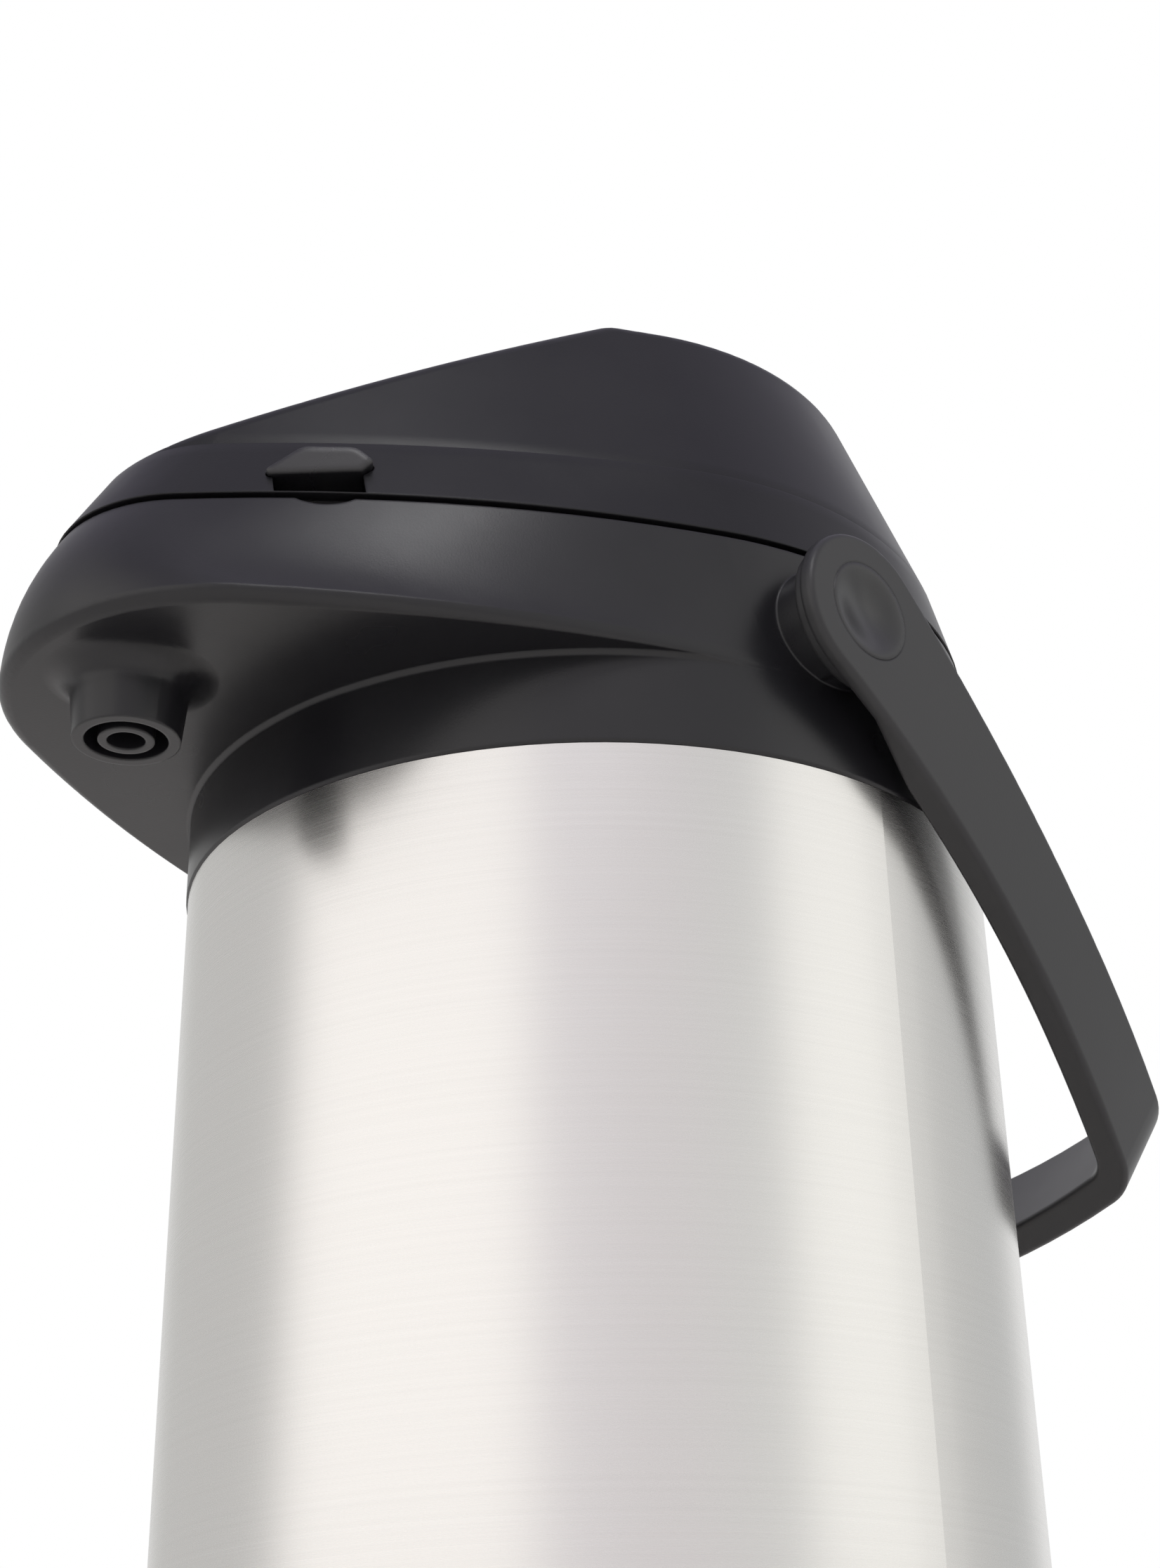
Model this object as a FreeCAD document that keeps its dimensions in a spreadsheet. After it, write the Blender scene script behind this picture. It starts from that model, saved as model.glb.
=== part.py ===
import FreeCAD, Part
import math
import os
from types import SimpleNamespace

import Sketcher
from FreeCAD import Placement, Rotation, Vector

# An airpot: a vacuum flask in a steel shell that turns on a base, with a pump under the lid
# that presses the drink up a dip tube and out at the beak. Lengths are millimetres.
# The origin is under the middle of the foot mat, +Z is up and the beak points along -Y.

doc = FreeCAD.newDocument("airpot")
sheet = doc.addObject("Spreadsheet::Sheet", "sizes")

# Driving dimensions: name, value, what it measures
dimensions = [
    # foot and turntable
    ("mat_radius", 64.0, "rubber foot mat"),
    ("mat_height", 3.0, "thickness of the foot mat"),
    ("mat_proud", 1.5, "how far the mat stands below the turntable"),
    ("turntable_inset", 3.5, "how far the turntable rim lies inside the base"),
    ("turntable_height", 5.5, "thickness of the turntable"),
    ("glide_inner", 60.0, "inner radius of the glide ring"),
    ("glide_width", 6.0, "width of the glide ring"),
    ("glide_height", 3.4, "height of the glide ring"),
    ("glide_seat", 1.0, "depth of the groove that holds the glide ring"),
    ("stub_radius", 9.0, "stub that the base turns on"),
    ("stub_length", 9.0, "height of the stub above the turntable"),
    ("washer_radius", 15.0, "washer that holds the base down"),
    ("washer_height", 1.5, "thickness of that washer"),
    ("pivot_screw_radius", 2.5, "shank of the pivot screw"),
    ("pivot_screw_length", 12.0, "shank length of the pivot screw"),
    ("pivot_head_radius", 5.0, "head of the pivot screw"),
    ("pivot_head_height", 2.5, "height of that head"),
    ("running_gap", 0.1, "flat running clearance between turning pieces"),
    ("bore_gap", 0.06, "radial clearance of a shaft in its bore"),
    ("fit_gap", 0.3, "clearance between assembled pieces"),
    # base, shell and flask
    ("body_radius", 82.5, "collar and base outside the steel shell"),
    ("base_height", 14.5, "height of the base below the shell"),
    ("base_wall", 3.0, "floor and walls of the base"),
    ("spigot_height", 10.0, "overlap of base and shell"),
    ("base_round", 3.0, "rounded lower edge of the base"),
    ("pedestal_inner", 20.0, "inner radius of the ring under the cushion"),
    ("pedestal_outer", 26.0, "outer radius of that ring"),
    ("pedestal_height", 13.5, "height of that ring above the base floor"),
    ("shell_inset", 0.4, "how far the steel lies inside the collar line"),
    ("shell_wall", 0.6, "sheet thickness of the steel shell"),
    ("shell_height", 246.0, "height of the steel shell"),
    ("cushion_height", 9.0, "rubber cushion under the flask"),
    ("cushion_inner", 16.0, "inner radius of the cushion"),
    ("cushion_outer", 30.0, "outer radius of the cushion"),
    ("glass_wall", 1.6, "wall of both flask layers"),
    ("flask_clearance", 5.5, "gap between the shell and the outer flask layer"),
    ("vacuum_gap", 2.4, "gap between the two flask layers"),
    ("glass_bottom_gap", 8.0, "gap between the two flask floors"),
    ("neck_length", 25.1, "length of the flask neck"),
    ("shoulder_rise", 24.0, "rise of the shoulder up to the neck"),
    ("outer_neck_radius", 41.0, "neck of the outer layer"),
    ("neck_gap", 3.4, "gap between the two necks"),
    ("flask_round", 28.0, "rounded edge of the flask floor"),
    ("shoulder_round", 18.0, "rounded edge of the flask shoulder"),
    ("lip_height", 2.0, "thickness of the lip that joins both layers"),
    ("gasket_height", 4.0, "gasket between the flask lip and the throat"),
    ("gasket_lap", 3.0, "how far the gasket reaches inside the outer neck"),
    ("gasket_lip", 3.5, "how far the gasket reaches outside the outer neck"),
    # collar and beak
    ("ring_height", 18.6, "round collar below the beak"),
    ("skirt_height", 8.0, "overlap of collar and shell"),
    ("skirt_wall", 2.3, "wall of that overlap"),
    ("lip_chamfer", 0.6, "small chamfer under the collar"),
    ("housing_wall", 2.5, "wall of collar and lid"),
    ("parting_height", 46.2, "height of the parting line above the shell"),
    ("parting_gap", 1.3, "gap between collar and lid"),
    ("under_tip", 132.6, "reach of the beak at its underside"),
    ("under_nose", 45.4, "nose radius at the underside"),
    ("under_bow", 320.0, "flank radius at the underside"),
    ("belly_height", 36.0, "height of the full belly of the beak above the shell"),
    ("belly_tip", 130.6, "reach of the beak at its belly"),
    ("belly_nose", 30.6, "nose radius at the belly"),
    ("belly_bow", 309.0, "flank radius at the belly"),
    ("part_tip", 125.9, "reach of the beak at the parting line"),
    ("part_nose", 27.3, "nose radius at the parting line"),
    ("part_bow", 279.0, "flank radius at the parting line"),
    ("part_draft", 0.4, "how far the round body leans in at the parting line"),
    ("beak_round", 2.5, "rounded lower edge of the nose, fading towards the round body"),
    ("collar_bead", 0.8, "bead between the round collar and the underside of the beak"),
    ("crease_height", 62.2, "height of the crease above the shell"),
    ("crease_tip", 117.0, "reach of the lid at the crease"),
    ("crease_nose", 25.0, "nose radius at the crease"),
    ("crease_bow", 330.0, "flank radius at the crease"),
    ("crease_draft", 4.2, "how far the round body leans in at the crease"),
    ("crown_height", 110.0, "height of the upper outline above the shell"),
    ("crown_tip", 100.3, "reach of the upper outline"),
    ("crown_nose", 23.4, "nose radius of the upper outline"),
    ("crown_bow", 531.0, "flank radius of the upper outline"),
    ("crown_draft", 21.6, "how far the round body leans in at the upper outline"),
    ("lid_height", 107.7, "height of the flat lid top above the shell"),
    ("ridge_reach", 35.5, "distance of the ridge in front of the axis"),
    ("front_slope", 0.56, "fall of the lid front for each unit forward"),
    ("lid_round", 4.0, "rounded edge round the lid top"),
    ("ridge_round", 8.0, "rounded ridge of the lid"),
    # outlet
    ("nozzle_inset", 20.8, "nozzle axis behind the tip of the beak"),
    ("nozzle_drop", 12.9, "length of the shroud below the beak"),
    ("shroud_inner", 7.65, "opening of the shroud"),
    ("shroud_outer", 9.85, "lower rim of the shroud"),
    ("shroud_flare", 0.75, "widening of the shroud towards the beak"),
    ("shroud_fillet", 5.5, "fillet between shroud and beak"),
    ("pipe_outer", 5.15, "outside radius of the spout pipe"),
    ("pipe_inner", 3.5, "bore radius of the spout pipe"),
    ("pipe_height", 29.0, "spout pipe axis above the shell"),
    ("pipe_rise_y", 22.0, "distance of the dip tube in front of the axis"),
    ("pipe_bend", 8.0, "bend radius over the dip tube"),
    ("spout_bend", 10.0, "bend radius over the nozzle"),
    ("socket_outer", 7.0, "outside radius of the dip tube socket"),
    ("socket_depth", 9.0, "depth of that socket"),
    ("socket_base", 6.0, "height of the socket mouth above the shell"),
    ("tube_outer", 4.5, "outside radius of the dip tube"),
    ("tube_inner", 3.2, "bore radius of the dip tube"),
    ("tube_foot_gap", 5.4, "gap below the dip tube in the flask"),
    ("seal_height", 3.0, "height of the small seals"),
    ("nozzle_seal_low", 9.5, "nozzle seal above the shroud rim"),
    ("grommet_wall", 1.35, "wall of the pipe grommet"),
    ("grommet_overhang", 0.8, "how far the grommet stands out of the throat"),
    # throat
    ("throat_rim", 3.0, "how far the throat wall stands outside the outer neck"),
    ("throat_wall", 2.5, "wall and flange of the throat"),
    ("throat_flange", 9.5, "width of the throat flange outside its wall"),
    ("throat_height", 16.4, "height of the throat"),
    ("throat_screw_edge", 4.0, "throat screws inside the edge of the flange"),
    ("throat_boss", 4.0, "radius of the bosses under the collar floor"),
    ("throat_boss_depth", 9.0, "depth of those bosses"),
    ("small_screw", 1.5, "shank radius of the small screws"),
    ("small_head", 3.2, "head radius of the small screws"),
    ("small_head_height", 2.0, "head height of the small screws"),
    ("small_length", 10.0, "shank length of the small screws"),
    # hinge
    ("hinge_behind", 4.7, "hinge axis behind the round body"),
    ("hinge_height", 42.0, "hinge axis above the shell"),
    ("hinge_barrel", 4.0, "radius of the hinge barrel"),
    ("hinge_pin", 2.0, "radius of the hinge pin"),
    ("hinge_knuckle", 9.5, "half width of the middle knuckle"),
    ("hinge_lug_in", 10.0, "inner face of the outer lugs"),
    ("hinge_lug_out", 18.0, "outer face of the outer lugs"),
    ("knuckle_rise", 4.0, "height of the knuckle strap over the crease"),
    ("knuckle_straight", 6.0, "upright back of the knuckle above the hinge axis"),
    # carry handle
    ("handle_y", -10.0, "pivot of the carry handle along Y"),
    ("handle_height", 30.5, "pivot of the carry handle above the shell"),
    ("handle_rest", 50.0, "angle from straight down where the handle rests"),
    ("handle_proud", 9.0, "outer face of the handle hub outside the round body"),
    ("hub_radius", 16.0, "radius of the handle hub"),
    ("hub_plate", 2.8, "thickness of the handle hub"),
    ("hub_slant", 4.0, "run of the slope behind the hub for each unit of depth"),
    ("strap_width", 23.4, "width of the handle strap"),
    ("strap_thick", 6.0, "thickness of the arms"),
    ("grip_thick", 7.0, "thickness of the grip"),
    ("hub_taper", 90.0, "length over which the hub narrows to the strap"),
    ("arm_bend", 429.0, "bend radius of the arms"),
    ("grip_bend", 226.0, "bend radius of the grip"),
    ("corner_bend", 12.0, "bend radius between arm and grip"),
    ("grip_length", 138.6, "outer face of the grip at its middle"),
    ("strap_round", 1.2, "rounded edges of the strap"),
    ("pin_radius", 5.0, "shaft of the handle pins"),
    ("pin_head", 9.9, "head of the handle pins, flush with the hub"),
    ("pin_recess", 1.6, "thickness of that head"),
    ("pin_dish", 9.0, "radius of the hollow in the head"),
    ("pin_dish_depth", 0.8, "depth of that hollow"),
    ("pin_over", 3.0, "how far the handle pins reach past their bosses"),
    ("clip_groove", 4.4, "radius of the clip groove"),
    ("clip_radius", 8.0, "outside radius of the clip"),
    ("clip_thick", 1.5, "thickness of the clip"),
    ("boss_radius", 12.5, "bosses that carry the handle"),
    ("boss_depth", 8.5, "inner end of those bosses inside the round body"),
    ("spacer_radius", 14.8, "washer behind the hub"),
    ("spacer_thick", 2.4, "thickness of that washer"),
    # pump
    ("pump_y", 12.0, "pump axis behind the flask axis"),
    ("pump_plate", 50.0, "radius of the pump floor over the throat"),
    ("pump_plate_height", 2.5, "thickness of the pump floor and its flange"),
    ("pump_flange", 63.0, "radius of the pump flange"),
    ("well_inner", 42.5, "bore of the button well"),
    ("well_wall", 2.2, "wall of the button well"),
    ("cup_gap", 0.6, "gap between well and pump cup"),
    ("cup_wall", 2.2, "wall of the pump cup"),
    ("cup_height", 19.0, "height of the pump cup"),
    ("well_foot", 11.0, "lower end of the well above the pump flange"),
    ("pillar_x", 50.0, "screw pillars along X"),
    ("pillar_y", 17.0, "screw pillars along Y from the pump axis"),
    ("pillar_radius", 4.2, "radius of the screw pillars"),
    ("pillar_bore_depth", 12.0, "depth of the screw holes in the pillars"),
    ("seal_inner", 42.0, "inner radius of the mouth seal"),
    ("mouth_seal_width", 6.5, "width of the mouth seal"),
    ("mouth_seal_height", 2.2, "thickness of the mouth seal"),
    ("valve_stem", 3.9, "stem of the air valve"),
    ("valve_cap", 8.0, "cap of the air valve"),
    ("valve_cap_height", 2.4, "height of that cap"),
    ("valve_knob", 5.0, "bead that holds the air valve"),
    ("valve_knob_height", 1.4, "height of that bead"),
    ("valve_plate", 32.0, "plate under the bellows"),
    ("valve_plate_height", 2.5, "thickness of that plate"),
    ("valve_hole", 6.0, "hole in that plate"),
    ("bellows_outer", 30.0, "crest radius of the bellows"),
    ("bellows_inner", 24.0, "root radius of the bellows"),
    ("bellows_wall", 1.2, "wall of the bellows across the folds"),
    ("clamp_height", 2.5, "ring that holds the bellows to the button"),
    ("clamp_outer", 28.7, "outer radius of that ring"),
    ("clamp_inner", 20.0, "inner radius of that ring"),
    ("spring_radius", 16.0, "middle radius of the return spring"),
    ("spring_wire", 1.6, "wire of the return spring"),
    ("coil_gap", 0.5, "gap between the closed end turns of a spring"),
    # push button and lock
    ("button_gap", 0.5, "gap between button and well"),
    ("button_wall", 2.5, "skirt of the button"),
    ("button_rise", 9.5, "edge of the button above the lid top"),
    ("button_crown", 2.0, "crown of the button"),
    ("crown_share", 0.5, "share of the radius where a quarter of the crown has fallen"),
    ("button_plate", 3.0, "thickness of the button at its edge"),
    ("button_skirt", 25.0, "height of the button skirt"),
    ("button_round", 2.0, "rounded edge of the button"),
    ("lock_stem_start", 29.2, "lock stem from the pump axis"),
    ("lock_stem_thick", 3.0, "thickness of the lock stem"),
    ("lock_stem_width", 8.0, "width of the lock stem"),
    ("lock_travel", 7.0, "travel of the lock"),
    ("small_round", 1.0, "rounded edges of the lock knob and the latch tabs"),
    ("lock_knob_width", 18.0, "width of the lock knob"),
    ("lock_knob_length", 9.5, "length of the lock knob"),
    ("lock_knob_start", 23.0, "lock knob from the pump axis"),
    ("lock_knob_height", 4.0, "height of the lock knob"),
    ("lock_recess", 1.6, "recess of the lock knob below the button edge"),
    ("lock_tongue_width", 14.0, "width of the lock tongue"),
    ("lock_tongue_thick", 2.4, "thickness of the lock tongue"),
    ("lock_tongue_end", 41.6, "end of the tongue from the pump axis"),
    ("lock_tongue_gap", 0.5, "tongue above the lid top"),
    # latches
    ("latch_y", -96.0, "middle of the latch along Y"),
    ("latch_height", 54.5, "middle of the latch above the shell"),
    ("latch_length", 21.6, "length of the latch tab from tip to tip"),
    ("latch_tall", 6.3, "height of the latch tab"),
    ("latch_lift", 3.3, "rear tip of the tab above its front tip"),
    ("latch_shoulder", 8.2, "upper front corner of the tab behind its front tip"),
    ("latch_heel", 3.4, "upper rear corner of the tab before its rear tip"),
    ("latch_chin", 2.4, "lower rear corner of the tab before its rear tip"),
    ("latch_tilt", 1.1, "rise of the lower edge of the tab towards the rear"),
    ("latch_tip_round", 0.8, "rounded tips of the tab"),
    ("latch_arch", 4.0, "rounded upper corners of the tab"),
    ("latch_proud", 2.5, "how far the tab stands out of the lid"),
    ("latch_behind", 3.0, "depth of the tab behind the lid wall"),
    ("latch_plate", 1.8, "thickness of the plate behind the tab"),
    ("latch_margin", 2.5, "overhang of that plate round the tab"),
    ("latch_arm_width", 14.0, "width of the hook arm"),
    ("latch_arm_drop", 15.0, "length of the hook arm below the tab axis"),
    ("latch_hook", 4.6, "reach of the hook"),
    ("latch_hook_tall", 3.0, "height of the hook"),
    ("latch_recess", 7.4, "finger recess below the tab axis"),
    ("latch_window_gap", 0.25, "gap round the latch tab"),
    ("latch_notch", 11.0, "width of the hollow notch in the collar rim"),
    ("latch_notch_depth", 1.6, "depth of that notch"),
    ("latch_notch_behind", 2.0, "middle of the notch behind the middle of the tab"),
    ("latch_travel", 3.0, "inward travel of the latch"),
    ("latch_spring_radius", 2.6, "middle radius of the latch spring"),
    ("latch_spring_wire", 0.6, "wire of the latch spring"),
    ("latch_spring_length", 9.2, "length of the latch spring"),
    ("latch_cup_lap", 0.6, "how far the spring enters its cup at rest"),
    ("latch_cup_radius", 3.3, "bore of the spring cup"),
    ("latch_cup_back", 1.4, "wall behind the spring cup"),
    ("latch_cup_wide", 9.0, "width of the spring cup"),
    ("latch_cup_low", 5.5, "lower end of the spring cup below the tab axis"),
]
for row, (name, value, meaning) in enumerate(dimensions, start=1):
    sheet.set("A%d" % row, name)
    sheet.set("B%d" % row, str(value))
    sheet.set("C%d" % row, meaning)
    sheet.setAlias("B%d" % row, name)
doc.recompute()

# Counts
bellows_folds = 6
spring_turns = 7
latch_spring_turns = 4
throat_screws = 4

# How far a cutting tool runs past the face it cuts
past = 1.0


# A length that carries its formula, so that a sketch can be bound to the sheet
class Size:
    def __init__(self, number, formula):
        self.number = number
        self.formula = formula

    def __float__(self):
        return self.number

    def __add__(self, other):
        other = as_size(other)
        return Size(self.number + other.number, "%s + %s" % (self.formula, other.formula))

    def __sub__(self, other):
        other = as_size(other)
        return Size(self.number - other.number, "%s - (%s)" % (self.formula, other.formula))

    def __truediv__(self, factor):
        return Size(self.number / factor, "(%s) / %s" % (self.formula, factor))


def as_size(value):
    return value if isinstance(value, Size) else Size(float(value), repr(float(value)))


mm = SimpleNamespace(**{name: float(sheet.get(name)) for name, _, _ in dimensions})
tied = SimpleNamespace(**{name: Size(getattr(mm, name), "sizes." + name) for name, _, _ in dimensions})
pieces = []


def origin_plane(body, role):
    return next(plane for plane in body.Origin.OriginFeatures if plane.Role == role)


def new_body(label):
    body = doc.addObject("PartDesign::Body", label)
    body.Label = label
    pieces.append(body)
    return body


# Closed outline of straight lines; each corner is bound to the sheet by its two distances
def outline_sketch(body, role, corners, name):
    sketch = body.newObject("Sketcher::SketchObject", name)
    sketch.AttachmentSupport = [(origin_plane(body, role), "")]
    sketch.MapMode = "FlatFace"
    corners = [(as_size(across), as_size(up)) for across, up in corners]
    points = [Vector(across.number, up.number, 0) for across, up in corners]
    count = len(points)
    for i in range(count):
        sketch.addGeometry(Part.LineSegment(points[i], points[(i + 1) % count]), False)
    for i in range(count):
        sketch.addConstraint(Sketcher.Constraint("Coincident", i, 2, (i + 1) % count, 1))
    for i, (across, up) in enumerate(corners):
        place_point(sketch, i, "DistanceX", -2, across)
        place_point(sketch, i, "DistanceY", -1, up)
    return sketch


def place_point(sketch, line, kind, axis, size):
    if size.number == 0:
        sketch.addConstraint(Sketcher.Constraint("PointOnObject", line, 1, axis))
    else:
        index = sketch.addConstraint(Sketcher.Constraint(kind, -1, 1, line, 1, size.number))
        sketch.setExpression("Constraints[%d]" % index, size.formula)


# A piece turned about a vertical axis at the given distance along Y.
# rounds lists (radius, height, fillet) for the circular edges that are rounded.
def turned(label, corners, rounds=(), along_y=None):
    body = new_body(label)
    turn = body.newObject("PartDesign::Revolution", label + "_turn")
    turn.Profile = outline_sketch(body, "XZ_Plane", corners, label + "_section")
    turn.ReferenceAxis = (turn.Profile[0], ["V_Axis"])
    turn.Angle = 360
    body.Tip = turn
    if rounds:
        doc.recompute()
        round_edges(body, turn, rounds, label)
    if along_y is not None:
        body.setExpression("Placement.Base.y", along_y.formula)
    return body


def round_edges(body, feature, rounds, label):
    for number, (radius, height, fillet) in enumerate(rounds):
        edge = ring_edge(feature.Shape, float(radius), float(height))
        rounding = body.newObject("PartDesign::Fillet", "%s_round_%d" % (label, number))
        rounding.Base = (feature, [edge])
        rounding.setExpression("Radius", fillet.formula)
        doc.recompute()
        feature = rounding
    body.Tip = feature


def ring_edge(shape, radius, height):
    for number, edge in enumerate(shape.Edges, start=1):
        box = edge.BoundBox
        if abs(box.ZMin - height) + abs(box.ZMax - height) < 0.001 and abs(box.XMax - radius) < 0.001:
            return "Edge%d" % number
    raise ValueError("no ring edge of radius %.2f at height %.2f" % (radius, height))


# Round holes through a body from one sketch of circles; the holes run along the sketch's normal
def drilled(body, centres, radius, depth, role="XY_Plane", start=None):
    sketch = body.newObject("Sketcher::SketchObject", "%s_holes_%s" % (body.Label, role[:2]))
    sketch.AttachmentSupport = [(origin_plane(body, role), "")]
    sketch.MapMode = "FlatFace"
    if start is not None:
        sketch.setExpression("AttachmentOffset.Base.z", start.formula)
    for x, y in centres:
        ring = sketch.addGeometry(Part.Circle(Vector(x, y, 0), Vector(0, 0, 1), radius.number), False)
        index = sketch.addConstraint(Sketcher.Constraint("Radius", ring, radius.number))
        sketch.setExpression("Constraints[%d]" % index, radius.formula)
        sketch.addConstraint(Sketcher.Constraint("DistanceX", -1, 1, ring, 3, x) if x else
                             Sketcher.Constraint("PointOnObject", ring, 3, -2))
        sketch.addConstraint(Sketcher.Constraint("DistanceY", -1, 1, ring, 3, y) if y else
                             Sketcher.Constraint("PointOnObject", ring, 3, -1))
    doc.recompute()
    before = body.Shape.Volume
    hole = body.newObject("PartDesign::Pocket", "%s_drill_%s" % (body.Label, role[:2]))
    hole.Profile = sketch
    hole.Reversed = True
    hole.setExpression("Length", depth.formula)
    body.Tip = hole
    doc.recompute()
    if body.Shape.Volume > before - 1:
        raise RuntimeError("the holes in %s cut nothing" % body.Label)


def shaped(label, shape):
    piece = doc.addObject("Part::Feature", label)
    piece.Label = label
    piece.Shape = shape
    pieces.append(piece)
    return piece


def block(x0, x1, y0, y1, z0, z1):
    return Part.makeBox(x1 - x0, y1 - y0, z1 - z0, Vector(x0, y0, z0))


def upright(radius, low, high, x=0.0, y=0.0):
    return Part.makeCylinder(radius, high - low, Vector(x, y, low))


def across(radius, x0, x1, y, z):
    return Part.makeCylinder(radius, x1 - x0, Vector(x0, y, z), Vector(1, 0, 0))


# Prism along X from corners in the YZ plane
def prism_x(x0, x1, corners):
    ring = [Vector(x0, y, z) for y, z in corners]
    return Part.Face(Part.makePolygon(ring + ring[:1])).extrude(Vector(x1 - x0, 0, 0))


# Heights along the axis
turntable_low = tied.mat_proud
turntable_top = turntable_low + tied.turntable_height
stub_top = turntable_top + tied.stub_length
glide_low = turntable_top - tied.glide_seat
glide_top = glide_low + tied.glide_height
base_low = glide_top + tied.running_gap
shell_low = base_low + tied.base_height
shell_top = shell_low + tied.shell_height
base_floor = base_low + tied.base_wall
cushion_low = base_floor + tied.pedestal_height
flask_low = cushion_low + tied.cushion_height
floor_low = shell_top + tied.ring_height
floor_top = floor_low + tied.housing_wall
lip_top = floor_top - tied.gasket_height
neck_top = lip_top - tied.lip_height
throat_top = floor_top + tied.throat_height
seal_low = throat_top + tied.fit_gap
pump_low = seal_low + tied.mouth_seal_height
flange_low = pump_low + tied.pump_plate_height
flange_top = flange_low + tied.pump_plate_height
lid_top = shell_top + tied.lid_height
button_edge = lid_top + tied.button_rise
parting = shell_top + tied.parting_height
rim_low = parting - tied.parting_gap / 2
rim_high = parting + tied.parting_gap / 2
neck_low = neck_top - tied.neck_length
shoulder_low = neck_low - tied.shoulder_rise
hinge_z = mm.hinge_height + float(shell_top)
zero = as_size(0)

# Foot and turntable
mat_hole = tied.mat_radius + tied.fit_gap
glide_outer = tied.glide_inner + tied.glide_width
turntable_rim = tied.body_radius - tied.turntable_inset
turned("foot_mat", [
    (zero, zero), (tied.mat_radius, zero), (tied.mat_radius, tied.mat_height), (zero, tied.mat_height)])
turned("turntable", [
    (zero, tied.mat_height), (mat_hole, tied.mat_height), (mat_hole, turntable_low),
    (turntable_rim, turntable_low), (turntable_rim, turntable_top),
    (glide_outer, turntable_top), (glide_outer, glide_low), (tied.glide_inner, glide_low),
    (tied.glide_inner, turntable_top), (tied.stub_radius, turntable_top), (tied.stub_radius, stub_top),
    (tied.pivot_screw_radius, stub_top),
    (tied.pivot_screw_radius, stub_top + tied.washer_height - tied.pivot_screw_length),
    (zero, stub_top + tied.washer_height - tied.pivot_screw_length)])
turned("glide_ring", [
    (tied.glide_inner, glide_low), (glide_outer, glide_low), (glide_outer, glide_top),
    (tied.glide_inner, glide_top)])
washer_top = stub_top + tied.washer_height
turned("pivot_washer", [
    (tied.pivot_screw_radius, stub_top), (tied.washer_radius, stub_top),
    (tied.washer_radius, washer_top), (tied.pivot_screw_radius, washer_top)])
head_top = washer_top + tied.pivot_head_height
turned("pivot_screw", [
    (zero, washer_top - tied.pivot_screw_length),
    (tied.pivot_screw_radius, washer_top - tied.pivot_screw_length),
    (tied.pivot_screw_radius, washer_top), (tied.pivot_head_radius, washer_top),
    (tied.pivot_head_radius, head_top), (zero, head_top)])

# Base, shell and flask
shell_outer = tied.body_radius - tied.shell_inset
shell_inner = shell_outer - tied.shell_wall
spigot_outer = shell_inner - tied.fit_gap
spigot_inner = spigot_outer - tied.base_wall
hub_bore = tied.stub_radius + tied.bore_gap
hub_top = stub_top - tied.fit_gap
turned("base_housing", [
    (hub_bore, base_low), (tied.body_radius, base_low), (tied.body_radius, shell_low),
    (spigot_outer, shell_low), (spigot_outer, shell_low + tied.spigot_height),
    (spigot_inner, shell_low + tied.spigot_height), (spigot_inner, base_floor),
    (tied.pedestal_outer, base_floor), (tied.pedestal_outer, cushion_low),
    (tied.pedestal_inner, cushion_low), (tied.pedestal_inner, hub_top), (hub_bore, hub_top)],
    rounds=[(tied.body_radius, base_low, tied.base_round)])
turned("outer_shell", [
    (shell_inner, shell_low), (shell_outer, shell_low), (shell_outer, shell_top),
    (shell_inner, shell_top)])


# One glass layer of the flask, with its outer corners first
def flask_layer(label, radius, bottom, drop, neck, top):
    wall = tied.glass_wall
    inside = radius - wall
    bore = neck - wall
    shoulder = shoulder_low - drop
    neck_foot = neck_low - drop
    shoulder_in = shoulder - wall
    neck_foot_in = neck_foot - wall
    return turned(label, [
        (zero, bottom), (radius, bottom), (radius, shoulder), (neck, neck_foot)] + top + [
        (bore, neck_foot_in), (inside, shoulder_in), (inside, bottom + wall), (zero, bottom + wall)],
        rounds=[(radius, bottom, tied.flask_round), (inside, bottom + wall, tied.flask_round - wall),
                (radius, shoulder, tied.shoulder_round), (inside, shoulder_in, tied.shoulder_round - wall)])


outer_glass = shell_inner - tied.flask_clearance
inner_glass = outer_glass - tied.glass_wall - tied.vacuum_gap
outer_bore = tied.outer_neck_radius - tied.glass_wall
inner_neck = outer_bore - tied.neck_gap
inner_bore = inner_neck - tied.glass_wall
inner_bottom = flask_low + tied.glass_bottom_gap
layer_gap = outer_glass - inner_glass
flask_layer("outer_flask", outer_glass, flask_low, zero, tied.outer_neck_radius, [
    (tied.outer_neck_radius, neck_top), (outer_bore, neck_top)])
flask_layer("inner_flask", inner_glass, inner_bottom, layer_gap, inner_neck, [
    (inner_neck, neck_top), (tied.outer_neck_radius, neck_top),
    (tied.outer_neck_radius, lip_top), (inner_bore, lip_top)])
turned("flask_cushion", [
    (tied.cushion_inner, cushion_low), (tied.cushion_outer, cushion_low),
    (tied.cushion_outer, flask_low), (tied.cushion_inner, flask_low)])
gasket_inner = tied.outer_neck_radius - tied.gasket_lap
gasket_outer = tied.outer_neck_radius + tied.gasket_lip
turned("neck_gasket", [
    (gasket_inner, lip_top), (gasket_outer, lip_top), (gasket_outer, floor_top), (gasket_inner, floor_top)])

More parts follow.
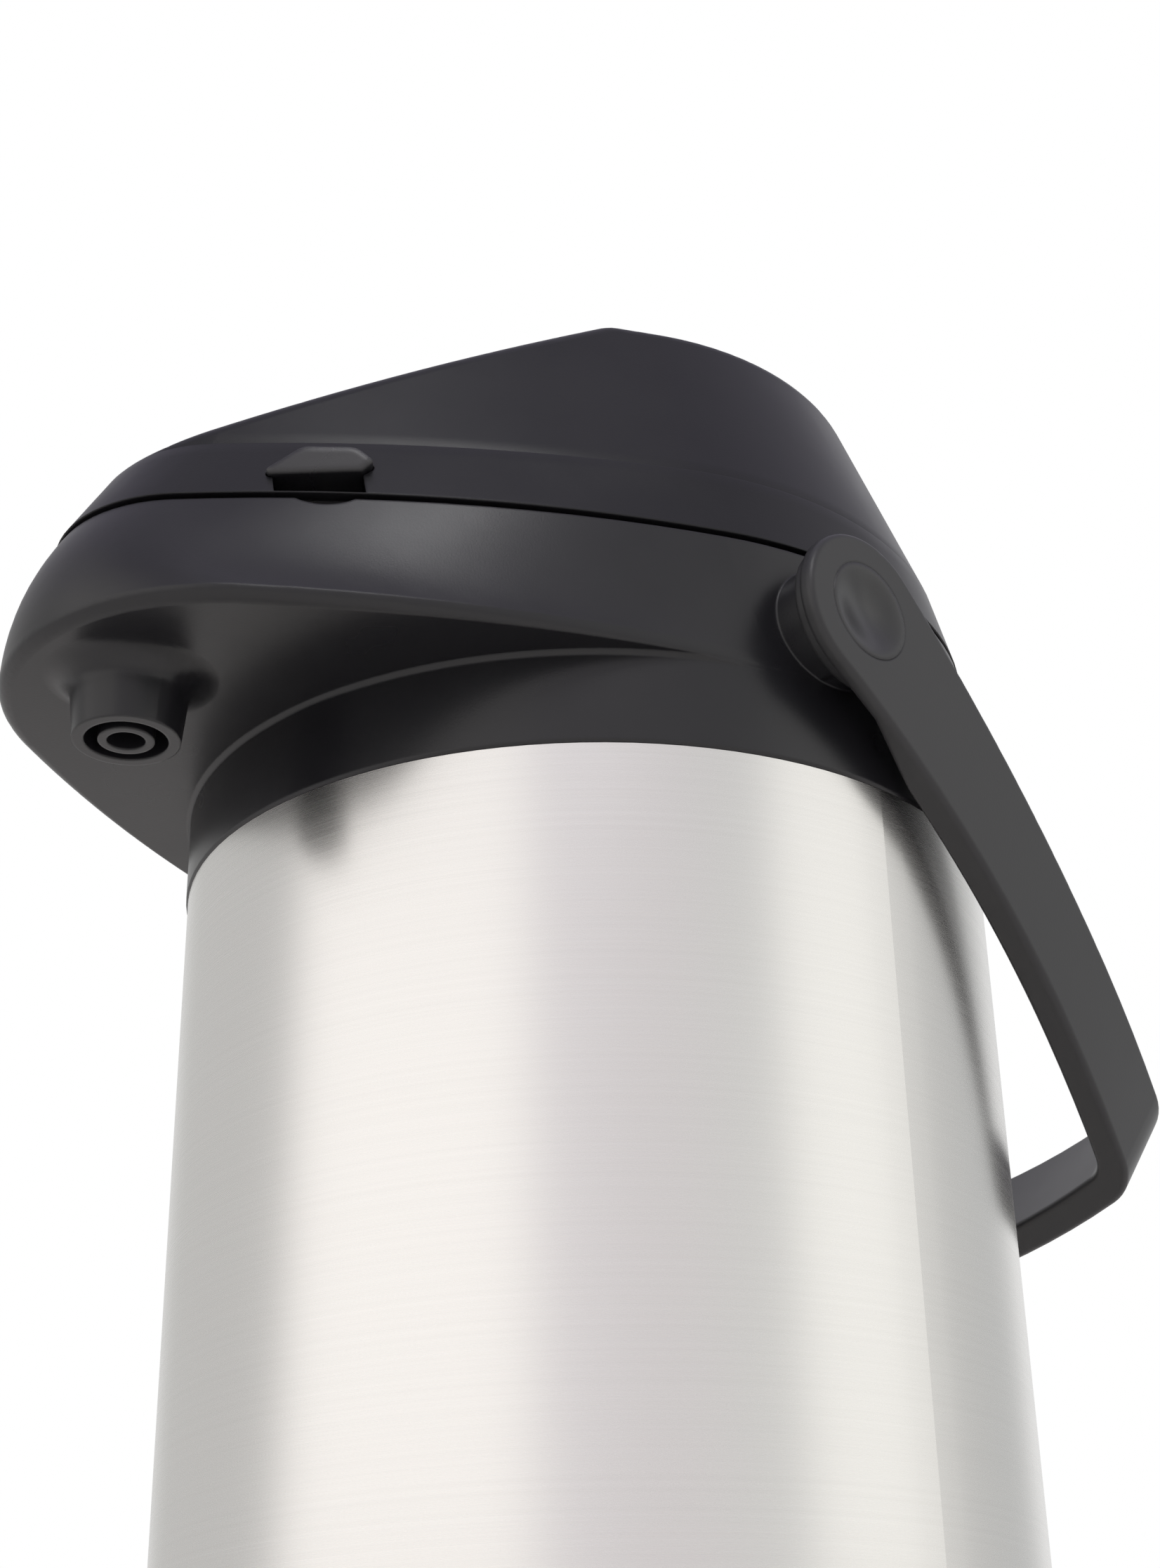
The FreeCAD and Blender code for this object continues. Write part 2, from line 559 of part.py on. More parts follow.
# Outlines of the beaked head: the round body behind, two bowed flanks and a round nose
beak_under = SimpleNamespace(tip=mm.under_tip, nose=mm.under_nose, bow=mm.under_bow, rear=mm.body_radius)
beak_belly = SimpleNamespace(tip=mm.belly_tip, nose=mm.belly_nose, bow=mm.belly_bow, rear=mm.body_radius)
beak_part = SimpleNamespace(
    tip=mm.part_tip, nose=mm.part_nose, bow=mm.part_bow, rear=mm.body_radius - mm.part_draft)
beak_crease = SimpleNamespace(
    tip=mm.crease_tip, nose=mm.crease_nose, bow=mm.crease_bow, rear=mm.body_radius - mm.crease_draft)
beak_crown = SimpleNamespace(
    tip=mm.crown_tip, nose=mm.crown_nose, bow=mm.crown_bow, rear=mm.body_radius - mm.crown_draft)


def mirrored(point):
    return Vector(-point.x, point.y, point.z)


# The flank is an arc that meets the nose and the round body without a corner.
# Gives its end at the nose, its end at the round body, its centre and its radius.
def flank(beak, inset, height):
    nose_centre = Vector(0, beak.nose - beak.tip, height)
    from_nose = beak.bow - beak.nose
    from_rear = beak.bow - beak.rear
    reach = beak.tip - beak.nose
    along = (from_nose ** 2 - from_rear ** 2 - reach ** 2) / (2 * reach)
    centre = Vector(-math.sqrt(from_rear ** 2 - along ** 2), along, height)
    radius = beak.bow - inset
    front = centre + (nose_centre - centre) * (radius / from_nose)
    back = centre + (Vector(0, 0, height) - centre) * (radius / from_rear)
    return front, back, centre, radius


def beak_outline(beak, inset, height):
    front, back, centre, radius = flank(beak, inset, height)
    rear = beak.rear - inset
    outward = (front + back) * 0.5 - centre
    outward.normalize()
    middle = centre + outward * radius
    turn = (math.pi / 2 + math.atan2(back.y, back.x)) / 2
    side = Vector(rear * math.cos(turn), rear * math.sin(turn), height)
    tail = Vector(0, rear, height)
    tip = Vector(0, inset - beak.tip, height)
    arcs = [
        Part.Arc(front, middle, back), Part.Arc(back, side, tail),
        Part.Arc(tail, mirrored(side), mirrored(back)),
        Part.Arc(mirrored(back), mirrored(middle), mirrored(front)),
        Part.Arc(mirrored(front), tip, front)]
    return Part.Wire([arc.toShape() for arc in arcs])


# The underside outline with only its nose drawn in
def drawn_in(depth):
    return SimpleNamespace(
        tip=beak_under.tip - depth, nose=beak_under.nose - depth, bow=beak_under.bow, rear=beak_under.rear)


# Half length that is larger than any piece, for cutting tools
beyond = 2 * mm.under_tip
collar_wall = mm.housing_wall
z_rim = float(rim_low)
z_lid = float(rim_high)
z_crease = float(shell_top + tied.crease_height)
z_crown = float(shell_top + tied.crown_height)
z_top = float(lid_top)
z_floor = float(floor_top)
z_under = float(floor_low)
z_handle = float(shell_top + tied.handle_height)
z_belly = float(shell_top + tied.belly_height)
nozzle_reach = mm.under_tip - mm.nozzle_inset
hinge_y = mm.body_radius + mm.hinge_behind
handle_face = mm.body_radius + mm.handle_proud
boss_inner = mm.body_radius - mm.boss_depth


# The lid's outside, or the same drawn in by depth
def lid_form(depth, low):
    sections = [
        beak_outline(beak_part, depth, low), beak_outline(beak_crease, depth, z_crease),
        beak_outline(beak_crown, depth, z_crown)]
    form = Part.makeLoft(sections, True, True)
    slope = mm.front_slope
    ridge = -mm.ridge_reach + depth * (math.hypot(1, slope) - 1) / slope
    top = z_top - depth
    return form.common(prism_x(-beyond, beyond, [
        (beyond, low - beyond), (beyond, top), (ridge, top), (-beyond, top - slope * (beyond + ridge)),
        (-beyond, low - beyond)]))


# Rounds the ridge across the lid and then the edge round its top
def rounded_lid(form):
    tops = [face for face in form.Faces if is_top(face)]
    form = form.makeFillet(mm.ridge_round, edges_in(tops, 2))
    tops = [face for face in form.Faces if is_top(face) or is_ridge(face)]
    return form.makeFillet(mm.lid_round, edges_in(tops, 1))


def is_top(face):
    return isinstance(face.Surface, Part.Plane) and face.normalAt(0, 0).z > 0.5


def is_ridge(face):
    return isinstance(face.Surface, Part.Cylinder) and abs(face.Surface.Axis.x) > 0.9


# Edges that belong to the given count of these faces
def edges_in(faces, count):
    edges = [edge for face in faces for edge in face.Edges]
    return [edge for edge in edges if sum(edge.isSame(other) for other in edges) == count]


# Frame of a latch: X out of the lid wall, Y along it, Z up, for the side +1 or -1
def latch_frame(side):
    height = float(shell_top + tied.latch_height)
    share = (height - z_lid) / (z_crease - z_lid)
    wall = 0
    outward = Vector(0, 0, 0)
    for beak, weight in ((beak_part, 1 - share), (beak_crease, share)):
        front, back, centre, radius = flank(beak, 0, height)
        ahead = mm.latch_y - centre.y
        reach = math.sqrt(radius ** 2 - ahead ** 2)
        wall += weight * (centre.x + reach)
        outward += Vector(reach, ahead, 0) * (weight / radius)
    angle = math.degrees(math.atan2(outward.y, side * outward.x))
    return Placement(Vector(side * wall, mm.latch_y, height), Rotation(Vector(0, 0, 1), angle))


def placed(shape, frame):
    shape.Placement = frame
    return shape


sides = [("right", 1), ("left", -1)]

# Collar housing: ring, beak tub, nozzle shroud, handle bosses, hinge lugs and screw bosses
skirt_outer = float(shell_inner - tied.fit_gap)
skirt_inner = skirt_outer - mm.skirt_wall
z_shell = float(shell_top)


def turned_solid(corners, x=0.0, y=0.0):
    ring = [Vector(radius, 0, height) for radius, height in corners]
    face = Part.Face(Part.makePolygon(ring + ring[:1]))
    solid = face.revolve(Vector(0, 0, 0), Vector(0, 0, 1), 360)
    solid.translate(Vector(x, y, 0))
    return solid


def nozzle_shroud():
    low = z_under - mm.nozzle_drop
    flare = mm.shroud_outer + mm.shroud_flare
    fillet = mm.shroud_fillet
    bend = fillet * (1 - math.sqrt(0.5))
    top = z_under + collar_wall / 2
    lines = Part.makePolygon([
        Vector(flare + fillet, 0, z_under), Vector(flare + fillet, 0, top), Vector(mm.shroud_inner, 0, top),
        Vector(mm.shroud_inner, 0, low), Vector(mm.shroud_outer, 0, low), Vector(flare, 0, z_under - fillet)])
    curve = Part.Arc(
        Vector(flare, 0, z_under - fillet), Vector(flare + bend, 0, z_under - bend),
        Vector(flare + fillet, 0, z_under))
    face = Part.Face(Part.Wire(lines.Edges + [curve.toShape()]))
    shroud = face.revolve(Vector(0, 0, 0), Vector(0, 0, 1), 360)
    shroud.translate(Vector(0, -nozzle_reach, 0))
    return shroud


def screw_circle(count, radius):
    turns = [2 * math.pi * (i + 0.5) / count for i in range(count)]
    return [(radius * math.cos(turn), radius * math.sin(turn)) for turn in turns]


throat_inner = tied.outer_neck_radius + tied.throat_rim
throat_outer = throat_inner + tied.throat_wall
flange_edge = throat_outer + tied.throat_flange
throat_screw_places = screw_circle(throat_screws, float(flange_edge - tied.throat_screw_edge))


# Lower half of the beak as a solid: the rounded lower edge, then the belly up to the parting line
def beak_tub():
    sections = []
    for angle in (0, 30, 60, 90):
        inset = mm.beak_round * (1 - math.sin(math.radians(angle)))
        rise = mm.beak_round * (1 - math.cos(math.radians(angle)))
        sections.append(beak_outline(drawn_in(inset), 0, z_under + rise))
    wall = [sections[-1], beak_outline(beak_belly, 0, z_belly), beak_outline(beak_part, 0, z_rim)]
    return Part.makeLoft(sections, True).fuse(Part.makeLoft(wall, True))


# Small bead in the corner between the round collar and the flat underside
def collar_bead():
    cone = turned_solid([
        (skirt_inner, z_under - mm.collar_bead), (mm.body_radius, z_under - mm.collar_bead),
        (mm.body_radius + mm.collar_bead, z_under), (skirt_inner, z_under)])
    flat = Part.Face(beak_outline(drawn_in(mm.beak_round), 0, z_under))
    return cone.common(flat.extrude(Vector(0, 0, -mm.ring_height)))


# Hollow in the collar rim below a latch, cut by a lying cylinder
def rim_notch(side):
    radius = (mm.latch_notch ** 2 / 4 + mm.latch_notch_depth ** 2) / (2 * mm.latch_notch_depth)
    return Part.makeCylinder(
        radius, 4 * collar_wall,
        Vector(-2 * collar_wall, side * mm.latch_notch_behind, radius - mm.latch_notch_depth),
        Vector(1, 0, 0))


def collar():
    ring = turned_solid([
        (skirt_inner, z_shell - mm.skirt_height), (skirt_outer, z_shell - mm.skirt_height),
        (skirt_outer, z_shell), (mm.body_radius - mm.lip_chamfer, z_shell),
        (mm.body_radius, z_shell + mm.lip_chamfer), (mm.body_radius, z_under), (skirt_inner, z_under)])
    tub = beak_tub()
    hollow = Part.makeLoft([
        beak_outline(beak_under, collar_wall, z_floor), beak_outline(beak_belly, collar_wall, z_belly),
        beak_outline(beak_part, collar_wall, z_rim)], True)
    mouth = Part.Face(beak_outline(beak_part, collar_wall, z_rim)).extrude(Vector(0, 0, past))
    boss_end = handle_face - mm.hub_plate - mm.spacer_thick - mm.running_gap
    added = [nozzle_shroud(), collar_bead()]
    taken = [
        mouth, upright(float(gasket_outer) + mm.fit_gap, z_shell, z_lid),
        upright(mm.shroud_inner, z_shell, z_lid, 0, -nozzle_reach)]
    for x, y in throat_screw_places:
        added.append(upright(mm.throat_boss, z_floor - mm.throat_boss_depth, z_floor - collar_wall / 2, x, y))
        taken.append(upright(mm.small_screw, z_floor - mm.throat_boss_depth - past, z_floor + past, x, y))
    for _, side in sides:
        ends = sorted([side * boss_inner, side * boss_end])
        added.append(across(mm.boss_radius, ends[0], ends[1], mm.handle_y, z_handle))
        taken.append(across(
            mm.pin_radius + mm.bore_gap, ends[0] - past, ends[1] + past, mm.handle_y, z_handle))
        lug = sorted([side * mm.hinge_lug_in, side * mm.hinge_lug_out])
        added.append(across(mm.hinge_barrel, lug[0], lug[1], hinge_y, hinge_z))
        added.append(block(
            lug[0], lug[1], skirt_inner, hinge_y, hinge_z - mm.hinge_barrel, z_rim))
        taken.append(across(mm.hinge_pin, lug[0] - past, lug[1] + past, hinge_y, hinge_z))
        wall = latch_frame(side)
        rim = Placement(Vector(wall.Base.x, wall.Base.y, z_rim), wall.Rotation)
        taken.append(placed(rim_notch(side), rim))
    housing = tub.cut(hollow).fuse([ring] + added)
    return housing.cut(taken).removeSplitter()


shaped("collar_housing", collar())

# Throat: the ring that holds the flask lip down and carries the pipe
z_pipe = float(shell_top + tied.pipe_height)
throat = turned("throat_ring", [
    (gasket_inner, floor_top), (flange_edge, floor_top), (flange_edge, floor_top + tied.throat_wall),
    (throat_outer, floor_top + tied.throat_wall), (throat_outer, throat_top), (throat_inner, throat_top),
    (throat_inner, floor_top + tied.throat_wall), (gasket_inner, floor_top + tied.throat_wall)])
drilled(throat, throat_screw_places, tied.small_screw, tied.throat_wall, start=floor_top)
drilled(throat, [(0, z_pipe)], tied.pipe_outer + tied.grommet_wall,
        throat_outer + tied.grommet_overhang, role="XZ_Plane")


# A round-head screw along -Z with the underside of its head at the origin
def screw(head, head_height, shank, length):
    solid = upright(head, 0, head_height).fuse(upright(shank, -length, 0))
    rim = [edge for edge in solid.Edges if edge.BoundBox.ZMin > head_height / 2]
    solid = solid.makeFillet(head_height / 2, rim)
    slot = shank / 2
    cross = [block(-head, head, -slot / 2, slot / 2, head_height / 2, head_height + past),
             block(-slot / 2, slot / 2, -head, head, head_height / 2, head_height + past)]
    return solid.cut(cross)


def screw_group(label, places, height, upwards=False):
    screws = []
    for x, y in places:
        one = screw(mm.small_head, mm.small_head_height, mm.small_screw, mm.small_length)
        turn = Rotation(Vector(1, 0, 0), 180 if upwards else 0)
        screws.append(placed(one, Placement(Vector(x, y, height), turn)))
    return shaped(label, Part.makeCompound(screws))


screw_group("throat_screws", throat_screw_places, float(floor_top + tied.throat_wall))

# Spout pipe: a socket over the dip tube, a run through the throat wall and a leg down in the nozzle
z_socket = z_shell + mm.socket_base
z_pipe_start = z_socket + mm.socket_depth
z_nozzle = z_under - mm.nozzle_drop


def pipe_path():
    rise = -mm.pipe_rise_y
    drop = -nozzle_reach
    first = mm.pipe_bend
    last = mm.spout_bend
    half = math.sqrt(0.5)
    foot = Vector(0, rise, z_pipe_start)
    bend_in = Vector(0, rise, z_pipe - first)
    bend_mid = Vector(0, rise - first * (1 - half), z_pipe - first * (1 - half))
    bend_out = Vector(0, rise - first, z_pipe)
    turn_in = Vector(0, drop + last, z_pipe)
    turn_mid = Vector(0, drop + last * (1 - half), z_pipe - last * (1 - half))
    turn_out = Vector(0, drop, z_pipe - last)
    end = Vector(0, drop, z_nozzle)
    return Part.Wire([
        Part.LineSegment(foot, bend_in).toShape(), Part.Arc(bend_in, bend_mid, bend_out).toShape(),
        Part.LineSegment(bend_out, turn_in).toShape(), Part.Arc(turn_in, turn_mid, turn_out).toShape(),
        Part.LineSegment(turn_out, end).toShape()])


def swept(path, radius):
    start = path.OrderedEdges[0]
    point = start.valueAt(start.FirstParameter)
    ring = Part.Wire(Part.makeCircle(radius, point, start.tangentAt(start.FirstParameter)))
    return path.makePipeShell([ring], True, False)


def spout_pipe():
    path = pipe_path()
    socket = upright(mm.socket_outer, z_socket, z_pipe_start + collar_wall, 0, -mm.pipe_rise_y)
    bore = upright(mm.tube_outer, z_socket, z_pipe_start, 0, -mm.pipe_rise_y)
    return swept(path, mm.pipe_outer).fuse(socket).cut([swept(path, mm.pipe_inner), bore])


shaped("spout_pipe", spout_pipe())


def grommet():
    start = Vector(0, -float(throat_outer) - mm.grommet_overhang, z_pipe)
    length = mm.throat_wall + 2 * mm.grommet_overhang + past
    outside = Part.makeCylinder(mm.pipe_outer + mm.grommet_wall, length, start, Vector(0, 1, 0))
    return outside.cut(Part.makeCylinder(mm.pipe_outer, length, start, Vector(0, 1, 0)))


shaped("pipe_grommet", grommet())
socket_low = shell_top + tied.socket_base
tube_low = inner_bottom + tied.glass_wall + tied.tube_foot_gap
rise_y = as_size(0) - tied.pipe_rise_y
nozzle_y = tied.nozzle_inset - tied.under_tip
nozzle_seal_low = floor_low - tied.nozzle_drop + tied.nozzle_seal_low
turned("dip_tube", [
    (tied.tube_inner, tube_low), (tied.tube_outer, tube_low),
    (tied.tube_outer, socket_low + tied.socket_depth), (tied.tube_inner, socket_low + tied.socket_depth)],
    along_y=rise_y)
turned("tube_seal", [
    (tied.tube_outer, socket_low - tied.seal_height), (tied.socket_outer, socket_low - tied.seal_height),
    (tied.socket_outer, socket_low), (tied.tube_outer, socket_low)], along_y=rise_y)
turned("nozzle_seal", [
    (tied.pipe_outer, nozzle_seal_low), (tied.shroud_inner, nozzle_seal_low),
    (tied.shroud_inner, nozzle_seal_low + tied.seal_height),
    (tied.pipe_outer, nozzle_seal_low + tied.seal_height)], along_y=nozzle_y)
shaped("hinge_pin", across(mm.hinge_pin, -mm.hinge_lug_out, mm.hinge_lug_out, hinge_y, hinge_z))

# Carry handle, drawn hanging straight down from its pivot and then turned to where it rests
handle_frame = Placement(
    Vector(0, mm.handle_y, z_handle), Rotation(Vector(1, 0, 0), mm.handle_rest))


# Centre of the corner that joins two circles from inside, each given by its centre and radius
def corner_centre(first, first_reach, second, second_reach):
    apart = second - first
    distance = apart.Length
    along = (first_reach ** 2 - second_reach ** 2 + distance ** 2) / (2 * distance)
    off = math.sqrt(first_reach ** 2 - along ** 2)
    apart.normalize()
    return first + apart * along + Vector(-apart.y, apart.x, 0) * off


# Line of the strap, X outwards and Y down along the arm: bowed arm, corner, grip and back up
def strap_line(arm_in, grip_in):
    arm = mm.arm_bend - arm_in
    grip = mm.grip_bend - grip_in
    corner = mm.corner_bend - arm_in
    arm_middle = Vector(handle_face - mm.arm_bend, 0, 0)
    grip_middle = Vector(0, mm.grip_length - mm.grip_bend, 0)
    corner_middle = corner_centre(arm_middle, arm - corner, grip_middle, grip - corner)
    top = Vector(handle_face - arm_in, -2 * mm.hub_radius, 0)
    pivot = Vector(handle_face - arm_in, 0, 0)
    arm_end = arm_middle + (corner_middle - arm_middle) * (arm / (arm - corner))
    grip_start = grip_middle + (corner_middle - grip_middle) * (grip / (grip - corner))
    outward = (arm_end + grip_start) * 0.5 - corner_middle
    outward.normalize()
    arm_half = ((pivot - arm_middle) + (arm_end - arm_middle)) * 0.5
    arm_half.normalize()
    right = [
        Part.LineSegment(top, pivot).toShape(),
        Part.Arc(pivot, arm_middle + arm_half * arm, arm_end).toShape(),
        Part.Arc(arm_end, corner_middle + outward * corner, grip_start).toShape()]
    left = [edge.mirror(Vector(0, 0, 0), Vector(1, 0, 0)) for edge in right]
    grip_line = Part.Arc(grip_start, Vector(0, mm.grip_length - grip_in, 0), mirrored(grip_start)).toShape()
    return right + [grip_line] + left, top


def carry_handle():
    outer, outer_top = strap_line(0, 0)
    inner, inner_top = strap_line(mm.strap_thick, mm.grip_thick)
    ends = [
        Part.LineSegment(outer_top, inner_top).toShape(),
        Part.LineSegment(mirrored(outer_top), mirrored(inner_top)).toShape()]
    profile = Part.Face(Part.Wire(Part.sortEdges(outer + inner + ends)[0]))
    strap = profile.extrude(Vector(0, 0, 2 * mm.hub_radius))
    strap.translate(Vector(0, 0, -mm.hub_radius))
    strap = strap.common(strap_silhouette())
    strap = strap.makeFillet(mm.strap_round, long_edges(strap))
    hub_back = handle_face - mm.hub_plate
    step = mm.spacer_radius + 2 * mm.fit_gap
    taken = []
    for _, side in sides:
        face = side * handle_face
        back = side * hub_back
        inside = side * boss_inner
        recess = side * (handle_face - mm.pin_recess)
        slope_end = step + mm.hub_slant * abs(back - inside)
        hollow = Part.Face(Part.makePolygon([
            Vector(inside, -mm.hub_radius - past, 0), Vector(back, -mm.hub_radius - past, 0),
            Vector(back, step, 0), Vector(inside, slope_end, 0), Vector(inside, -mm.hub_radius - past, 0)]))
        hollow = hollow.extrude(Vector(0, 0, 2 * mm.hub_radius + 2 * past))
        hollow.translate(Vector(0, 0, -mm.hub_radius - past))
        taken.append(hollow)
        taken.append(hub_bore_tool(mm.pin_radius, inside, face + side * past))
        taken.append(hub_bore_tool(mm.pin_head, recess, face + side * past))
    strap = strap.cut(taken)
    strap.rotate(Vector(0, 0, 0), Vector(1, 0, 0), -90)
    return placed(strap, handle_frame.multiply(strap.Placement))


def hub_bore_tool(radius, x0, x1):
    low = min(x0, x1)
    return Part.makeCylinder(radius, abs(x1 - x0), Vector(low, 0, 0), Vector(1, 0, 0))


# The strap seen from the side: a round hub that runs into an even band through hollow arcs
def strap_silhouette():
    half = mm.strap_width / 2
    hollow = (mm.hub_taper ** 2 + half ** 2 - mm.hub_radius ** 2) / (2 * (mm.hub_radius - half))
    share = mm.hub_radius / (mm.hub_radius + hollow)
    leave = Vector(0, mm.hub_taper * share, (half + hollow) * share)
    band = Vector(0, mm.hub_taper, half)
    centre = Vector(0, mm.hub_taper, half + hollow)
    halfway = (leave + band) * 0.5 - centre
    halfway.normalize()
    end = Vector(0, beyond, half)
    upper = [
        Part.Arc(leave, centre + halfway * hollow, band).toShape(), Part.LineSegment(band, end).toShape()]
    lower = [edge.mirror(Vector(0, 0, 0), Vector(0, 0, 1)) for edge in upper]
    below = Vector(0, leave.y, -leave.z)
    closing = [
        Part.LineSegment(end, Vector(0, beyond, -half)).toShape(),
        Part.Arc(leave, Vector(0, -mm.hub_radius, 0), below).toShape()]
    wire = Part.Wire(Part.sortEdges(upper + lower + closing)[0])
    wire.translate(Vector(-beyond, 0, 0))
    return Part.Face(wire).extrude(Vector(2 * beyond, 0, 0))


# Edges that bound the strap's width, without the straight ones across it
def long_edges(solid):
    return [edge for edge in solid.Edges if not isinstance(edge.Curve, Part.Line)]


shaped("carry_handle", carry_handle())

# Pins, washers and clips that hold the handle to its two bosses
hub_back = handle_face - mm.hub_plate
clip_start = boss_inner - mm.running_gap - mm.clip_thick


def span(side, inner, outer):
    return sorted([side * inner, side * outer])


def handle_pin(side):
    head_foot = handle_face - mm.pin_recess
    pin_end = boss_inner - mm.pin_over
    head = across(mm.pin_head, *span(side, head_foot, handle_face), 0, 0)
    ball = (mm.pin_dish ** 2 + mm.pin_dish_depth ** 2) / (2 * mm.pin_dish_depth)
    dish = Part.makeSphere(ball, Vector(side * (handle_face - mm.pin_dish_depth + ball), 0, 0))
    shaft = across(mm.pin_radius, *span(side, pin_end, head_foot), 0, 0)
    groove = across(mm.pin_radius + past, *span(side, clip_start, clip_start + mm.clip_thick), 0, 0)
    groove = groove.cut(across(mm.clip_groove, *span(side, pin_end, head_foot), 0, 0))
    return head.fuse(shaft).cut([groove, dish])


def washer_x(side, inner, outer, x0, x1):
    hole = across(inner, *span(side, x0 - past, x1 + past), 0, 0)
    return across(outer, *span(side, x0, x1), 0, 0).cut(hole)


for name, side in sides:
    hardware = [
        ("handle_pin_" + name, handle_pin(side)),
        ("handle_washer_" + name, washer_x(
            side, mm.pin_radius, mm.spacer_radius, hub_back - mm.spacer_thick, hub_back)),
        ("pin_clip_" + name, washer_x(
            side, mm.clip_groove, mm.clip_radius, clip_start, clip_start + mm.clip_thick))]
    for label, shape in hardware:
        shaped(label, placed(shape, Placement(Vector(0, mm.handle_y, z_handle), Rotation())))

# Lid: beaked cover, button well, screw pillars, latch windows, spring cups and hinge knuckle
z_flange = float(flange_top)
z_well = z_flange + mm.well_foot
well_outer = mm.well_inner + mm.well_wall
pillar_places = [
    (x, mm.pump_y + y) for x in (-mm.pillar_x, mm.pillar_x) for y in (-mm.pillar_y, mm.pillar_y)]
tab_back = mm.housing_wall + mm.latch_behind
plate_back = tab_back + mm.latch_plate
cup_front = plate_back + mm.latch_spring_length - mm.latch_cup_lap
cup_depth = mm.latch_cup_lap + mm.latch_travel + mm.fit_gap


# Leaf-shaped section of the latch tab, grown by a gap, in the YZ plane of the latch frame
def tab_prism(side, gap, x0, x1):
    front = -mm.latch_length / 2
    rear = mm.latch_length / 2
    low = -mm.latch_tall / 2
    high = mm.latch_tall / 2
    shape = prism_x(x0, x1, [
        (front, low), (rear - mm.latch_chin, low + mm.latch_tilt), (rear, low + mm.latch_lift),
        (rear - mm.latch_heel, high), (front + mm.latch_shoulder, high)])
    ridges = [edge for edge in shape.Edges if edge.BoundBox.XLength > (x1 - x0) / 2]
    arches = [edge for edge in ridges if edge.BoundBox.ZMin > high - past / 2]
    shape = shape.makeFillet(mm.latch_arch, arches)
    ridges = [edge for edge in shape.Edges if edge.BoundBox.XLength > (x1 - x0) / 2]
    tips = [
        edge for edge in ridges
        if is_corner(edge, front, low) or is_corner(edge, rear, low + mm.latch_lift)]
    shape = shape.makeFillet(mm.latch_tip_round, tips)
    if gap:
        ends = [face for face in shape.Faces if face.BoundBox.XLength < past / 2]
        start = min(ends, key=lambda face: face.BoundBox.XMin)
        shape = start.makeOffset2D(gap).extrude(Vector(x1 - x0, 0, 0))
    return shape if side > 0 else shape.mirror(Vector(0, 0, 0), Vector(0, 1, 0))


def is_corner(edge, along, height):
    return abs(edge.BoundBox.YMin - along) + abs(edge.BoundBox.ZMin - height) < past / 2


def latch_window(side):
    x0 = -tab_back
    x1 = mm.latch_proud + mm.housing_wall
    gap = mm.latch_window_gap
    half = mm.latch_length / 2 - mm.latch_chin
    recess = prism_x(x0, x1, [
        (-half, 0), (-half + past, -mm.latch_recess), (half + past, -mm.latch_recess), (half, 0)])
    if side < 0:
        recess = recess.mirror(Vector(0, 0, 0), Vector(0, 1, 0))
    return tab_prism(side, gap, x0, x1).fuse(recess)


def spring_cup():
    half = mm.latch_cup_wide / 2
    cup_rear = cup_front + cup_depth + mm.latch_cup_back
    return block(-cup_rear, -cup_front, -half, half, -mm.latch_cup_low, beyond)


def spring_cup_bore():
    return Part.makeCylinder(
        mm.latch_cup_radius, cup_depth, Vector(-cup_front - cup_depth, 0, 0), Vector(1, 0, 0))


def lid_shell():
    outside = rounded_lid(lid_form(0, z_lid))
    shell = outside.cut(lid_form(mm.housing_wall, z_lid - past))
    added = [upright(well_outer, z_well, z_top, 0, mm.pump_y)]
    taken = [upright(mm.well_inner, z_well - past, z_top + past, 0, mm.pump_y)]
    for x, y in pillar_places:
        added.append(upright(mm.pillar_radius, z_flange, z_top, x, y))
        taken.append(upright(mm.small_screw, z_flange, z_flange + mm.pillar_bore_depth, x, y))
    for _, side in sides:
        frame = latch_frame(side)
        added.append(placed(spring_cup(), frame))
        taken.append(placed(spring_cup_bore(), frame))
        taken.append(placed(latch_window(side), frame))
    added = [post.common(outside_and_below(outside)) for post in added]
    knuckle = prism_x(-mm.hinge_knuckle, mm.hinge_knuckle, knuckle_profile())
    barrel = across(mm.hinge_barrel, -mm.hinge_knuckle, mm.hinge_knuckle, hinge_y, hinge_z)
    shell = shell.fuse(added + [knuckle.fuse(barrel)])
    pin_hole = across(mm.hinge_pin + mm.bore_gap, -beyond, beyond, hinge_y, hinge_z)
    return shell.cut(taken + [pin_hole]).removeSplitter()


# The lid's outside with the same outline carried down to the pump flange
def outside_and_below(outside):
    low = beak_outline(beak_part, mm.housing_wall, z_flange)
    return outside.fuse(Part.Face(low).extrude(Vector(0, 0, z_lid - z_flange)))


def knuckle_profile():
    top = z_crease + mm.knuckle_rise
    clear = hinge_y - mm.hinge_barrel
    back = hinge_y + mm.hinge_barrel
    middle = mm.housing_wall / 2
    share = mm.knuckle_rise / (z_crown - z_crease)
    wall = beak_crease.rear * (1 - share) + beak_crown.rear * share - middle
    return [
        (clear, hinge_z), (back, hinge_z), (back, hinge_z + mm.knuckle_straight), (wall, top),
        (beak_crease.rear - middle, z_crease), (beak_part.rear - middle, z_lid), (clear, z_lid)]


shaped("lid_shell", lid_shell())
screw_group("cover_screws", pillar_places, float(flange_low), upwards=True)


